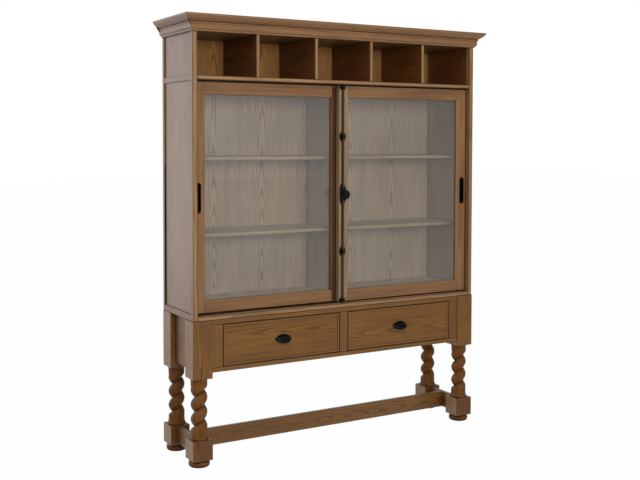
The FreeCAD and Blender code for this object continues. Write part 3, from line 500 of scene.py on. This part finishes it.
# How each wooden part is made: its finish, the way its grain runs, the cut and the eased edge.
joinery = {
    "side_stretchers": (standOak, "long", "straight", 1.6),
    "long_stretcher": (standOak, "long", "flat", 1.6),
    "apron_top_rail": (standOak, "long", "straight", 0.8),
    "apron_bottom_rail": (standOak, "long", "straight", 1.2),
    "apron_stiles": (standOak, "up", "straight", 0.8),
    "side_and_back_aprons": (standOak, "level", "flat", 0.8),
    "drawer_runners": (drawerOak, "long", "straight", 0.6),
    "bottom_board": (hutchOak, "long", "flat", 1.0),
    "cubby_shelf": (hutchOak, "long", "flat", 1.0),
    "top_board": (hutchOak, "long", "flat", 1.0),
    "cubby_dividers": (cubbySideOak, "long", "flat", 1.0),
    "cornice_rails": (drawerOak, "long", "straight", 0.8),
    "raised_floor": (innerOak, "long", "flat", 1.0),
    "floor_bearers": (drawerOak, "long", "straight", 0.6),
    "back_panels": (innerOak, "up", "flat", 0.4),
    "centre_partition": (innerOak, "up", "flat", 1.0),
    "adjustable_shelves": (innerOak, "long", "flat", 1.2),
    "left_side_frame": (hutchOak, "long", "straight", 1.0),
    "right_side_frame": (hutchOak, "long", "straight", 1.0),
    "left_side_panels": (veneerOak, "up", "flat", 0.4),
    "right_side_panels": (veneerOak, "up", "flat", 0.4),
    "front_cornice": (hutchOak, "long", "straight", 0.6),
    "side_cornices": (hutchOak, "long", "straight", 0.6),
    "left_door_stiles": (hutchOak, "long", "straight", 1.0),
    "left_door_rails": (hutchOak, "long", "straight", 1.0),
    "left_door_beads": (hutchOak, "long", "straight", 0.6),
    "right_door_stiles": (hutchOak, "long", "straight", 1.0),
    "right_door_rails": (hutchOak, "long", "straight", 1.0),
    "right_door_beads": (hutchOak, "long", "straight", 0.6),
}
for hand in ("left", "right"):
    joinery[hand + "_drawer_front"] = (standOak, "long", "flat", 1.0)
    joinery[hand + "_drawer_sides"] = (drawerOak, "long", "flat", 0.8)
    joinery[hand + "_drawer_back"] = (drawerOak, "long", "flat", 0.8)
    joinery[hand + "_drawer_bottom"] = (drawerOak, "long", "flat", 0.3)

# Boards with a band of another shade on their front edge.
banded = {"bottom_board": edgeOak, "cubby_shelf": edgeOak, "top_board": edgeOak,
          "cubby_dividers": edgeOak, "adjustable_shelves": shelfEdgeOak,
          "left_side_frame": edgeOak, "right_side_frame": edgeOak}
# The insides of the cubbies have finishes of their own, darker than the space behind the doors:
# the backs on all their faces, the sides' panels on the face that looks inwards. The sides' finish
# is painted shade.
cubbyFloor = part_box("cubby_shelf")[0].z
cubbyWalls = {"back_panels": (cubbyBackOak, 0), "left_side_panels": (cubbySideOak, 1),
              "right_side_panels": (cubbySideOak, -1)}
# Where the doors meet, the rear stile is painted darker, as painted shade cast by the front door,
# and the front one is painted paler and greyer.
meetingStiles = {"left_door_stiles": (rearStileOak, 1), "right_door_stiles": (frontStileOak, -1)}
squareOn = 0.7      # a face looks along an axis if this much of its normal does
for order, (node, (finish, grain, cut, ease)) in enumerate(joinery.items()):
    board = finishMesh(easedCopy(node, ease * mm), node + "_oak", finish)
    markBoards(board.data, grain, cut, seed=100 + order)
    if node in banded:
        recolourFaces(board, banded[node], lambda face: face.normal.y < -squareOn)
    if node in cubbyWalls:
        facesFinish, side = cubbyWalls[node]
        recolourFaces(board, facesFinish, lambda face: face.center.z > cubbyFloor
                   and (side == 0 or face.normal.x * side > squareOn))
    if node == "back_panels":       # stained outside as the case is
        recolourFaces(board, veneerOak, lambda face: face.normal.y > squareOn)
    if node in meetingStiles:
        facesFinish, side = meetingStiles[node]
        doorMiddle = sum(corner.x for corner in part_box(node)) / 2
        recolourFaces(board, facesFinish, lambda face: (face.center.x - doorMiddle) * side > 0)
    fitPiece(board, bodyOf(node), [node])
print("joinery dressed:", len(joinery), "pieces")


# The legs' barley-twist turnings, in mm, as on the solids: one right-hand rope between a plain
# bell below and a plain cup above, on a collar with a cove. The cup flares out to the block.
twist = {
    "length": 292.0, "radius": 39.8, "rootRadius": 20.5, "pitch": 70.3, "notch": 239.0,
    "fullness": 0.8, "cupLength": 32.0, "bellLength": 40.0, "fade": 22.0,
    "collarRadius": 44.8, "collarHeight": 7.0, "cove": 16.0, "capRadius": 47.0, "capCove": 12.0,
}
twistMesh = {"columns": 48, "rows": 220}
legNodes = ["front_left_leg", "front_right_leg", "rear_left_leg", "rear_right_leg"]
# The square blocks' heights, and the bun foot's turned profile as (radius, height) pairs.
legBlock = {
    "size": 100.0, "footHeight": 32.5, "lowerTop": 131.0, "upperBottom": 423.0, "top": 700.0,
    "lowerEase": 3.5, "shoulder": 1.5, "arris": 1.4, "smoothUnder": 24.0,
    "foot": [(0.0, 0.0), (42.0, 0.0), (44.5, 0.6), (48.0, 3.0), (50.2, 7.0), (51.2, 12.0),
             (51.3, 17.0), (50.3, 21.5), (48.0, 25.5), (45.2, 28.2), (43.0, 29.5),
             (42.6, 31.0), (43.0, 32.5), (0.0, 32.5)],
    "segments": 48,
}


def twistTree():
    tree = bpy.data.node_groups.new("barleyTwist", "GeometryNodeTree")
    addSocket(tree, "Geometry", "Geometry")
    for name in twist:
        addSocket(tree, name, "Float")
    for name in twistMesh:
        addSocket(tree, name, "Int")
    addSocket(tree, "wood", "Material")
    addSocket(tree, "Geometry", "Geometry", "OUTPUT")
    given = addNode(tree, "NodeGroupInput").outputs

    sheet = addNode(tree, "GeometryNodeMeshGrid", {"Size X": 1.0, "Size Y": given["length"],
                    "Vertices X": given["columns"], "Vertices Y": given["rows"]})
    flat = addNode(tree, "ShaderNodeSeparateXYZ", [addNode(tree, "GeometryNodeInputPosition")])
    turn = addMath(tree, "ADD", flat.outputs["X"], 0.5)
    height = addMath(tree, "MULTIPLY_ADD", given["length"], 0.5, flat.outputs["Y"])

    # the rope: how far this point stands off the groove that winds round the leg
    above = addMath(tree, "SUBTRACT", height, given["notch"])
    winds = addMath(tree, "DIVIDE", above, given["pitch"])
    phase = addMath(tree, "SUBTRACT", winds, turn)
    phase = addMath(tree, "MULTIPLY", phase, math.pi)
    wave = addMath(tree, "SINE", phase)
    wave = addMath(tree, "ABSOLUTE", wave)
    bulge = addMath(tree, "POWER", wave, given["fullness"])
    hollow = addMath(tree, "SUBTRACT", 1.0, bulge)

    # the groove runs out into the plain bell and cup
    bellEnd = addMath(tree, "SUBTRACT", height, given["bellLength"])
    cupStart = addMath(tree, "SUBTRACT", given["length"], given["cupLength"])
    cupEnd = addMath(tree, "SUBTRACT", cupStart, height)
    nearest = addMath(tree, "MINIMUM", bellEnd, cupEnd)
    share = addRemap(tree, nearest, (0.0, given["fade"]), smooth=True)
    deepest = addMath(tree, "SUBTRACT", given["radius"], given["rootRadius"])
    groove = addMath(tree, "MULTIPLY", deepest, hollow)
    groove = addMath(tree, "MULTIPLY", groove, share)

    coveTop = addMath(tree, "ADD", given["collarHeight"], given["cove"])
    rise = addRemap(tree, height, (given["collarHeight"], coveTop), (0.0, math.pi / 2))
    rise = addMath(tree, "SINE", rise)
    left = addMath(tree, "SUBTRACT", 1.0, rise)
    flare = addMath(tree, "SUBTRACT", given["collarRadius"], given["radius"])
    plain = addMath(tree, "MULTIPLY_ADD", flare, left, given["radius"])
    capFoot = addMath(tree, "SUBTRACT", given["length"], given["capCove"])
    swell = addRemap(tree, height, (capFoot, given["length"]), (0.0, math.pi / 2))
    swell = addMath(tree, "COSINE", swell)
    swell = addMath(tree, "SUBTRACT", 1.0, swell)
    capFlare = addMath(tree, "SUBTRACT", given["capRadius"], given["radius"])
    plain = addMath(tree, "MULTIPLY_ADD", capFlare, swell, plain)
    radius = addMath(tree, "SUBTRACT", plain, groove)

    angle = addMath(tree, "MULTIPLY", turn, 2 * math.pi)
    cosine = addMath(tree, "COSINE", angle)
    sine = addMath(tree, "SINE", angle)
    outX = addMath(tree, "MULTIPLY", radius, cosine)
    outY = addMath(tree, "MULTIPLY", radius, sine)
    place = addNode(tree, "ShaderNodeCombineXYZ", {"X": outX, "Y": outY, "Z": height})
    turned = addNode(tree, "GeometryNodeSetPosition", {"Geometry": sheet, "Position": place})
    closed = addNode(tree, "GeometryNodeMergeByDistance", {"Geometry": turned,
                     "Distance": 0.00001})
    legs = addNode(tree, "GeometryNodeInstanceOnPoints", {"Points": given["Geometry"],
                   "Instance": closed})
    real = addNode(tree, "GeometryNodeRealizeInstances", {"Geometry": legs})
    wooden = addNode(tree, "GeometryNodeSetMaterial", {"Geometry": real,
                     "Material": given["wood"]})
    addNode(tree, "NodeGroupOutput", [wooden])
    return tree


def pointsObject(name, points, turns=None):
    mesh = bpy.data.meshes.new(name)
    mesh.from_pydata(points, [], [])
    if turns:
        mesh.attributes.new("facing", "FLOAT", "POINT").data.foreach_set("value", turns)
    return newObject(name, mesh)


def runTree(piece, tree, values):
    modifier = piece.modifiers.new(tree.name, "NODES")
    modifier.node_group = tree
    for socket in tree.interface.items_tree:
        if socket.in_out == "INPUT" and socket.name in values:
            modifier[socket.identifier] = values[socket.name]
    solved = piece.evaluated_get(bpy.context.evaluated_depsgraph_get())
    mesh = bpy.data.meshes.new_from_object(solved)
    piece.modifiers.clear()
    piece.data = mesh
    return mesh


def legCentre(node):
    low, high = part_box(node)
    return Vector(((low.x + high.x) / 2, (low.y + high.y) / 2, 0.0))


def axisPoint(face, spots):
    # The point at the face's height on the axis of its own leg.
    centre = face.calc_center_median()
    nearest = min(spots, key=lambda spot: (spot - centre).to_2d().length)
    return Vector((nearest.x, nearest.y, centre.z))


def makeTurnings():
    spots = [legCentre(node) + Vector((0, 0, legBlock["lowerTop"] * mm)) for node in legNodes]
    turnings = pointsObject("barley_twist_turnings", [tuple(spot) for spot in spots])
    values = {name: value if name == "fullness" else value * mm for name, value in twist.items()}
    values.update(twistMesh)
    values["wood"] = turnedOak
    mesh = runTree(turnings, twistTree(), values)
    bm = bmesh.new()
    bm.from_mesh(mesh)
    bmesh.ops.recalc_face_normals(bm, faces=bm.faces)
    if sum(face.normal.dot(face.calc_center_median() - axisPoint(face, spots))
           for face in bm.faces[:200]) < 0:
        bmesh.ops.reverse_faces(bm, faces=bm.faces)
    bm.to_mesh(mesh)
    bm.free()
    for face in mesh.polygons:
        face.use_smooth = True
    markBoards(mesh, "up", "flat", seed=11)
    return turnings


def addBlock(whole, centre, low, high, ease, eased):
    # One square block with softened arrises, and its edges at the eased heights rounded.
    bm = bmesh.new()
    bmesh.ops.create_cube(bm, size=1.0)
    size = Vector((legBlock["size"], legBlock["size"], high - low)) * mm
    middle = centre + Vector((0, 0, (low + high) / 2 * mm))
    for vert in bm.verts:
        vert.co = middle + size * vert.co
    rises = {edge: abs(edge.verts[0].co.z - edge.verts[1].co.z) for edge in bm.edges}
    level = [edge for edge, rise in rises.items() if rise < 0.1 * mm
             and any(abs(edge.verts[0].co.z - at * mm) < 0.01 * mm for at in eased)]
    bmesh.ops.bevel(bm, geom=level, offset=ease * mm, segments=3, profile=0.5, affect="EDGES")
    upright = [edge for edge in bm.edges if edge.calc_face_angle(0.0) > 1.0
               and abs(edge.verts[0].co.z - edge.verts[1].co.z) > (high - low) / 3 * mm]
    bmesh.ops.bevel(bm, geom=upright, offset=legBlock["arris"] * mm, segments=2, profile=0.5,
                    affect="EDGES")
    mesh = bpy.data.meshes.new("block")
    bm.to_mesh(mesh)
    bm.free()
    whole.from_mesh(mesh)
    bpy.data.meshes.remove(mesh)


def addRing(bm, count, spot):
    # Verts round a ring; spot gives the place at an angle.
    return [bm.verts.new(spot(2 * math.pi * at / count)) for at in range(count)]


def joinRings(bm, rings):
    # Faces from each ring to the next; a ring of one vert is a pole.
    count = max(len(ring) for ring in rings)
    for lower, upper in zip(rings, rings[1:]):
        for at in range(count):
            after = (at + 1) % count
            corners = []
            for ring, index in ((lower, at), (lower, after), (upper, after), (upper, at)):
                if ring[index % len(ring)] not in corners:
                    corners.append(ring[index % len(ring)])
            bm.faces.new(corners)


def makeBlocks():
    footTop, lowerTop, upperBottom = (legBlock[at] for at in
                                      ("footHeight", "lowerTop", "upperBottom"))
    bm = bmesh.new()
    for node in legNodes:
        centre = legCentre(node)
        addBlock(bm, centre, footTop, lowerTop, legBlock["lowerEase"], (footTop, lowerTop))
        addBlock(bm, centre, upperBottom, legBlock["top"], legBlock["shoulder"], (upperBottom,))
        joinRings(bm, [addRing(bm, legBlock["segments"] if radius else 1, lambda angle: (
            centre.x + radius * mm * math.cos(angle), centre.y + radius * mm * math.sin(angle),
            height * mm)) for radius, height in legBlock["foot"]])
    blocks = finishMesh(bm, "leg_blocks_and_feet", standOak, legBlock["smoothUnder"])
    markBoards(blocks.data, "up", "flat", seed=23)
    recolourFaces(blocks, turnedOak, lambda face: face.center.z < footTop * mm)
    # painted light: the blocks' faces that look sideways are painted paler than their fronts
    recolourFaces(blocks, sideOak, lambda face: face.center.z >= footTop * mm
               and abs(face.normal.x) > squareOn)
    recolourFaces(blocks, lowBlockOak, lambda face: abs(face.normal.x) <= squareOn
               and footTop * mm <= face.center.z < upperBottom * mm)
    return blocks


fitPiece(makeTurnings(), "case", legNodes)
fitPiece(makeBlocks(), "case", legNodes)
print("legs turned")


# Fittings that keep the shape of their solids, with edges dressed as a file would, in mm.
castings = {"left_flush_pull": 0.5, "right_flush_pull": 0.5, "cremone_case": 0.6,
            "cremone_guides": 0.5}
for node, ease in castings.items():
    casting = finishMesh(easedCopy(node, ease * mm), node + "_bronze", bronzeFinish,
                         dressing["castSmoothUnder"])
    fitPiece(casting, bodyOf(node), [node])

# Eye-shaped cup pull: a plate with a raised border and a hood that is open below.
cupPull = {
    "width": 95.0, "height": 45.0, "plate": 2.0, "border": 3.0, "borderRise": 1.2,
    "hoodWidth": 84.0, "hoodRise": 32.0, "hoodReach": 26.0, "hoodWall": 2.0,
    "hoodBase": -14.0, "hoodSwing": 100.0, "thinnest": 0.4,
    "outline": 64, "columns": 32, "rows": 12, "smoothUnder": 40.0,
}


def eyePoint(share, scale):
    # Point of the pointed eye outline; share runs once round it from the left point.
    half, rise = cupPull["width"] / 2 * scale, cupPull["height"] / 2 * scale
    radius = (half * half + rise * rise) / (2 * rise)
    swing = math.asin(half / radius)
    angle = 4 * share * swing - swing if share <= 0.5 else swing - 4 * (share - 0.5) * swing
    above = radius * math.cos(angle) - radius + rise
    return radius * math.sin(angle), above if share <= 0.5 else -above


def makeCupPull(hand):
    low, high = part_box(hand + "_cup_pull")
    middle = Vector(((low.x + high.x) / 2, high.y, 0.0))
    screwLow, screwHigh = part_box(hand + "_pull_screws")
    middle.z = (screwLow.z + screwHigh.z) / 2
    bm = bmesh.new()
    count = cupPull["outline"]
    plate, border, rise = cupPull["plate"], cupPull["border"], cupPull["borderRise"]
    inset = 1 - 2 * border / cupPull["height"]
    # back edge, front edge, crest of the border, foot of the border, flat field
    levels = [(1.0, 0.0), (1.0, plate * 0.6), ((1 + inset) / 2, plate + rise),
              (inset, plate), (inset * 0.5, plate), (0.02, plate)]
    rings = []
    for scale, out in levels:
        rings.append([bm.verts.new(middle + Vector((x * mm, -out * mm, z * mm)))
                      for x, z in (eyePoint(step / count, scale) for step in range(count))])
    joinRings(bm, rings)
    bm.faces.new(rings[-1])
    bm.faces.new(list(reversed(rings[0])))

    # the hood: a shell that swings from the plate over to a rolled lip in front
    columns, rows = cupPull["columns"], cupPull["rows"]
    sheets = []
    for wall in (0.0, cupPull["hoodWall"]):
        sheet = []
        for column in range(columns + 1):
            share = column / columns
            swell, taper = (math.sin(math.pi * share) ** power for power in (0.9, 1.5))
            rise = max(cupPull["hoodRise"] * taper - wall, cupPull["thinnest"])
            reach = max(cupPull["hoodReach"] * swell - wall, cupPull["thinnest"]) + plate
            wide = (cupPull["hoodWidth"] / 2 - wall) * math.cos(math.pi * (1 - share))
            line = []
            for row in range(rows + 1):
                swing = math.radians(cupPull["hoodSwing"]) * row / rows
                line.append(bm.verts.new(middle + mm * Vector((
                    wide, -reach * math.sin(min(swing, math.pi / 2)),
                    cupPull["hoodBase"] * taper + rise * math.cos(swing)))))
            sheet.append(line)
        for column in range(columns):
            for row in range(rows):
                corners = (sheet[column][row], sheet[column][row + 1],
                           sheet[column + 1][row + 1], sheet[column + 1][row])
                bm.faces.new(corners if wall else corners[::-1])
        sheets.append(sheet)
    outside, inside = sheets
    for column in range(columns):
        bm.faces.new((outside[column][rows], outside[column + 1][rows],
                      inside[column + 1][rows], inside[column][rows]))
    bmesh.ops.recalc_face_normals(bm, faces=bm.faces)
    return finishMesh(bm, hand + "_cup_pull_bronze", bronzeFinish, cupPull["smoothUnder"])


for hand in ("left", "right"):
    fitPiece(makeCupPull(hand), hand + "_drawer", [hand + "_cup_pull"])
print("cup pulls made")


# The cremone's oval knob on its turned neck, in mm from the bolt's plate forwards.
knob = {"width": 31.0, "tall": 45.0, "segments": 40, "smoothUnder": 60.0,
        "profile": [(0.0, 0.0), (0.30, 0.0), (0.62, 1.2), (0.86, 3.6), (0.98, 7.2),
                    (1.0, 10.0), (0.97, 12.4), (0.88, 14.8), (0.72, 16.6), (0.52, 17.8),
                    (0.42, 18.6)],
        "neck": [(6.4, 20.5), (5.6, 23.0), (5.2, 28.0), (5.2, 34.0), (5.6, 37.5),
                 (6.6, 39.5), (8.2, 40.5), (8.4, 41.6), (6.0, 42.6), (6.0, 44.0), (0.0, 44.0)]}


def makeKnob():
    low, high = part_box("cremone_knob")
    middle = Vector(((low.x + high.x) / 2, low.y, (low.z + high.z) / 2))
    bm = bmesh.new()
    spans = [(share * knob["width"] / 2, share * knob["tall"] / 2, out)
             for share, out in knob["profile"]]
    spans += [(radius, radius, out) for radius, out in knob["neck"]]
    joinRings(bm, [addRing(bm, knob["segments"] if wide else 1, lambda angle: middle + mm * Vector(
        (wide * math.cos(angle), out, tall * math.sin(angle)))) for wide, tall, out in spans])
    bmesh.ops.recalc_face_normals(bm, faces=bm.faces)
    return finishMesh(bm, "cremone_knob_bronze", bronzeFinish, knob["smoothUnder"])


fitPiece(makeKnob(), "bolt_knob", ["cremone_knob"])


# Screws and shelf pins repeat, so one tree sets them out on points.
fastener = {"screwHead": 2.8, "screwRise": 1.2, "slotWidth": 0.8, "slotDepth": 0.6,
            "pullHead": 3.25, "pullRise": 1.5, "pin": 2.5, "pinIn": 8.0, "pinOut": 10.0,
            "flange": 4.2, "flangeWall": 0.7, "seed": 3, "smoothUnder": 35.0}


def fastenerTree():
    tree = bpy.data.node_groups.new("fastenersOnPoints", "GeometryNodeTree")
    for name, kind in (("Geometry", "Geometry"), ("fastener", "Object"), ("turnSpread", "Float"),
                       ("seed", "Int"), ("metal", "Material")):
        addSocket(tree, name, kind)
    addSocket(tree, "Geometry", "Geometry", "OUTPUT")
    given = addNode(tree, "NodeGroupInput").outputs
    model = addNode(tree, "GeometryNodeObjectInfo", {"Object": given["fastener"]})
    facing = addNode(tree, "GeometryNodeInputNamedAttribute", {"Name": "facing"},
                     data_type="FLOAT")
    turn = addNode(tree, "FunctionNodeRandomValue", {2: 0.0, 3: given["turnSpread"],
                   "Seed": given["seed"]}, data_type="FLOAT").outputs[1]
    angles = addNode(tree, "ShaderNodeCombineXYZ", {"Y": turn, "Z": facing})
    turned = addNode(tree, "FunctionNodeEulerToRotation", [angles])
    copies = addNode(tree, "GeometryNodeInstanceOnPoints", {"Points": given["Geometry"],
                     "Instance": model.outputs["Geometry"], "Rotation": turned})
    real = addNode(tree, "GeometryNodeRealizeInstances", {"Geometry": copies})
    metal = addNode(tree, "GeometryNodeSetMaterial", {"Geometry": real,
                    "Material": given["metal"]})
    addNode(tree, "NodeGroupOutput", [metal])
    return tree


def lathedModel(profile, segments):
    # Closed turning along +X from (x, radius) pairs in mm that start and end at radius 0.
    bm = bmesh.new()
    joinRings(bm, [addRing(bm, segments if radius else 1, lambda angle: (
        out * mm, radius * mm * math.cos(angle), radius * mm * math.sin(angle)))
        for out, radius in profile])
    bmesh.ops.recalc_face_normals(bm, faces=bm.faces)
    return bm


def screwModel(name, head, rise):
    # Domed head with a sawn slot, facing -Y from the plate at y = 0.
    bm = lathedModel([(-0.4, 0.0), (-0.4, head * 0.6), (0.0, head * 0.97),
                      (rise * 0.35, head * 0.9), (rise * 0.75, head * 0.6),
                      (rise, head * 0.25), (rise, 0.0)], 12)
    slotSide = fastener["slotWidth"] / 2 * mm
    for way in (-1, 1):
        bmesh.ops.bisect_plane(bm, geom=bm.verts[:] + bm.edges[:] + bm.faces[:],
                               plane_co=(0, way * slotSide, 0), plane_no=(0, 1, 0))
    middle = [face for face in bm.faces if face.normal.x > 0.2
              and abs(face.calc_center_median().y) < slotSide]
    sunk = bmesh.ops.extrude_face_region(bm, geom=middle)["geom"]
    bmesh.ops.delete(bm, geom=middle, context="FACES_ONLY")
    for vert in (item for item in sunk if isinstance(item, bmesh.types.BMVert)):
        vert.co.x = min(vert.co.x, (rise - fastener["slotDepth"]) * mm)
    bmesh.ops.rotate(bm, verts=bm.verts, cent=(0, 0, 0),
                     matrix=Matrix.Rotation(-math.pi / 2, 3, "Z"))
    return finishMesh(bm, name, smoothAngle=fastener["smoothUnder"])


def setOut(node, points, model, finish, metal, body, spread=0.0, turns=None):
    piece = pointsObject(node + "_" + metal, points, turns or [0.0] * len(points))
    mesh = runTree(piece, fastening, {"fastener": model, "turnSpread": spread,
                                      "seed": fastener["seed"], "metal": finish})
    mesh.set_sharp_from_angle(angle=math.radians(fastener["smoothUnder"]))
    fitPiece(piece, body, [node])


def solidBoxes(node):
    bm = bmesh.new()
    bm.from_mesh(frame["nodes"][node].data)
    bmesh.ops.remove_doubles(bm, verts=bm.verts, dist=mergeWithin)
    mesh = bpy.data.meshes.new("solids")
    bm.to_mesh(mesh)
    bm.free()
    boxes = [spanOf(mesh, island) for island in islandsOf(mesh)]
    bpy.data.meshes.remove(mesh)
    return boxes


fastening = fastenerTree()
smallScrew = screwModel("small_screw", fastener["screwHead"], fastener["screwRise"])
pullScrew = screwModel("pull_screw", fastener["pullHead"], fastener["pullRise"])
inside, outside, radius, wall = (fastener[part] for part in
                                 ("pinIn", "pinOut", "pin", "flangeWall"))
pin = finishMesh(lathedModel([
    (-inside, 0.0), (-inside, radius * 0.8), (0.6 - inside, radius), (0.05, radius),
    (0.05, fastener["flange"]), (wall, fastener["flange"]), (wall, radius),
    (outside - 0.8, radius), (outside, radius * 0.7), (outside, 0.0)], 16), "pin")

for node, model, rise, body in (
        ("cremone_screws", smallScrew, fastener["screwRise"], "right_door"),
        ("left_pull_screws", pullScrew, fastener["pullRise"], "left_drawer"),
        ("right_pull_screws", pullScrew, fastener["pullRise"], "right_drawer")):
    heads = [((low.x + high.x) / 2, low.y + rise * mm, (low.z + high.z) / 2)
             for low, high in solidBoxes(node)]
    setOut(node, heads, model, bronzeFinish, "bronze", body, spread=math.pi)
seats, turns = [], []
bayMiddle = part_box("bottom_board")[1].x / 2
for low, high in solidBoxes("shelf_pins"):
    middle = (low + high) / 2
    # the wall is on the pin's left where the pin lies in the left half of its bay
    wallOnLeft = middle.x < math.copysign(bayMiddle, middle.x)
    seats.append((low.x + inside * mm if wallOnLeft else high.x - inside * mm,
                  middle.y, middle.z))
    turns.append(0.0 if wallOnLeft else math.pi)
setOut("shelf_pins", seats, pin, brassFinish, "brass", "case", turns=turns)
for model in (smallScrew, pullScrew, pin):
    bpy.data.objects.remove(model)
print("screws and pins set out")

for node, finish in (("upper_bolt_rod", rodFinish), ("lower_bolt_rod", rodFinish),
                     ("cremone_pinion", bronzeFinish), ("door_tracks", bronzeFinish),
                     ("left_door_glass", glassFinish), ("right_door_glass", glassFinish),
                     ("left_door_glides", nylonFinish), ("right_door_glides", nylonFinish)):
    frame["nodes"][node].data.materials.clear()
    frame["nodes"][node].data.materials.append(finish)
print("rods, tracks, glass and glides finished")


# The room: a pale floor and a white surround, brighter overhead. What the panes mirror is white
# behind the dresser and darker in front of it: the floor by its depth in metres, the surround by
# how far back the ray points, each given as where it starts and ends and how bright it is there.
# The lamps are soft boxes: their place and aim, width and height in metres, power in watts, tint.
room = {
    "floor": "#b4b2af", "floorSize": 60.0, "whiteShare": 0.985, "ambient": (0.25, 0.45),
    "mirroredFloor": ((-1.2, 0.0), (0.15, 0.96)),
    "mirroredBehind": ((-0.6, 0.0), (0.0, 1.0)),
    "mirroredBefore": ((-0.92, -0.78), (0.6, 0.2)),
    "boxes": [
        ("backLeftBox", (-3.4, 3.6, 1.6), (0.0, 0.1, 1.4), (4.0, 3.2), 56.0, "#f6f8ff"),
        ("topLeftBox", (-2.6, -2.6, 4.4), (0.0, 0.0, 1.0), (2.4, 2.4), 50.0, "#fff6ea"),
        ("frontBox", (-0.9, -5.2, 2.1), (0.0, 0.0, 1.2), (2.4, 1.4), 182.0, "#fffaf4"),
    ],
}


def makeFloor():
    size = room["floorSize"] / 2
    mesh = bpy.data.meshes.new("floor")
    mesh.from_pydata([(-size, -size, 0), (size, -size, 0), (size, size, 0), (-size, size, 0)],
                     [], [(0, 1, 2, 3)])
    floor = newObject("floor", mesh)
    material = emptyMaterial("paleStudioFloor")
    tree = material.node_tree
    matt = addNode(tree, "ShaderNodeBsdfDiffuse", {"Color": room["floor"]})
    white = addNode(tree, "ShaderNodeEmission", {"Color": (1, 1, 1, 1), "Strength": 1.0})
    rays = addNode(tree, "ShaderNodeLightPath")
    seen = addMath(tree, "MAXIMUM", rays.outputs["Is Camera Ray"],
                   rays.outputs["Is Transmission Ray"])
    seen = addMath(tree, "MULTIPLY", seen, room["whiteShare"])
    spot = addNode(tree, "ShaderNodeTexCoord").outputs["Object"]
    depth = addNode(tree, "ShaderNodeSeparateXYZ", [spot]).outputs["Y"]
    mirrored = addRemap(tree, depth, *room["mirroredFloor"])
    mirrored = addMath(tree, "MULTIPLY", mirrored, rays.outputs["Is Glossy Ray"])
    share = addMath(tree, "MAXIMUM", seen, mirrored)
    both = addNode(tree, "ShaderNodeMixShader", [share, matt, white])
    addNode(tree, "ShaderNodeOutputMaterial", {"Surface": both})
    mesh.materials.append(material)


def makeSurround():
    world = bpy.data.worlds.new("whiteSurround")
    bpy.context.scene.world = world
    world.use_nodes = True
    tree = world.node_tree
    tree.nodes.clear()
    rays = addNode(tree, "ShaderNodeLightPath")
    seen = addMath(tree, "MAXIMUM", rays.outputs["Is Camera Ray"],
                   rays.outputs["Is Transmission Ray"])
    way = addNode(tree, "ShaderNodeTexCoord").outputs["Generated"]
    way = addNode(tree, "ShaderNodeSeparateXYZ", [way]).outputs
    strength = addRemap(tree, way["Z"], (0.0, 1.0), room["ambient"])
    behind = addRemap(tree, way["Y"], *room["mirroredBehind"])
    before = addRemap(tree, way["Y"], *room["mirroredBefore"])
    mirrored = addMath(tree, "MAXIMUM", behind, before)
    strength = addNode(tree, "ShaderNodeMix", {0: rays.outputs["Is Glossy Ray"], 2: strength,
                       3: mirrored}, data_type="FLOAT")
    strength = addNode(tree, "ShaderNodeMix", {0: seen, 2: strength, 3: 1.0}, data_type="FLOAT")
    sky = addNode(tree, "ShaderNodeBackground", {"Color": (1, 1, 1, 1), "Strength": strength})
    addNode(tree, "ShaderNodeOutputWorld", {"Surface": sky})


def hangLamps():
    for name, place, aim, (wide, tall), power, tint in room["boxes"]:
        lamp = bpy.data.lights.new(name, "AREA")
        lamp.shape, lamp.energy = "RECTANGLE", power
        lamp.size, lamp.size_y = wide, tall
        lamp.color = fromHex(tint)[:3]
        box = newObject(name, lamp)
        box.location = place
        box.rotation_euler = (Vector(aim) - Vector(place)).to_track_quat("-Z", "Y").to_euler()
        # a head-on view would mirror the front box in the panes
        box.visible_glossy = box.visible_transmission = name != "frontBox"


# The camera: metres, degrees from straight ahead, which is along +Y, and mm for lens and sensor.
view = {"place": (-2.5552, -4.3407, 1.5572), "yaw": 29.911, "pitch": 2.386, "roll": 0.113,
        "lens": 54.26, "sensor": 36.0, "shift": (0.0036, -0.0949), "reach": 200.0}


def placeCamera():
    yaw, pitch, roll = (math.radians(view[name]) for name in ("yaw", "pitch", "roll"))
    ahead = Vector((math.sin(yaw) * math.cos(pitch), math.cos(yaw) * math.cos(pitch),
                    -math.sin(pitch)))
    right = Vector((math.cos(yaw), -math.sin(yaw), 0.0))
    up = right.cross(ahead)
    right, up = (right * math.cos(roll) + up * math.sin(roll),
                 up * math.cos(roll) - right * math.sin(roll))
    lens = bpy.data.cameras.new("camera")
    lens.lens, lens.sensor_width, lens.clip_end = view["lens"], view["sensor"], view["reach"]
    lens.shift_x, lens.shift_y = view["shift"]
    camera = newObject("camera", lens)
    camera.matrix_world = Matrix((right, up, -ahead)).transposed().to_4x4()
    camera.location = view["place"]
    bpy.context.scene.camera = camera


makeFloor()
makeSurround()
hangLamps()
placeCamera()
bpy.context.scene.view_settings.view_transform = "Standard"
print("room and camera set")
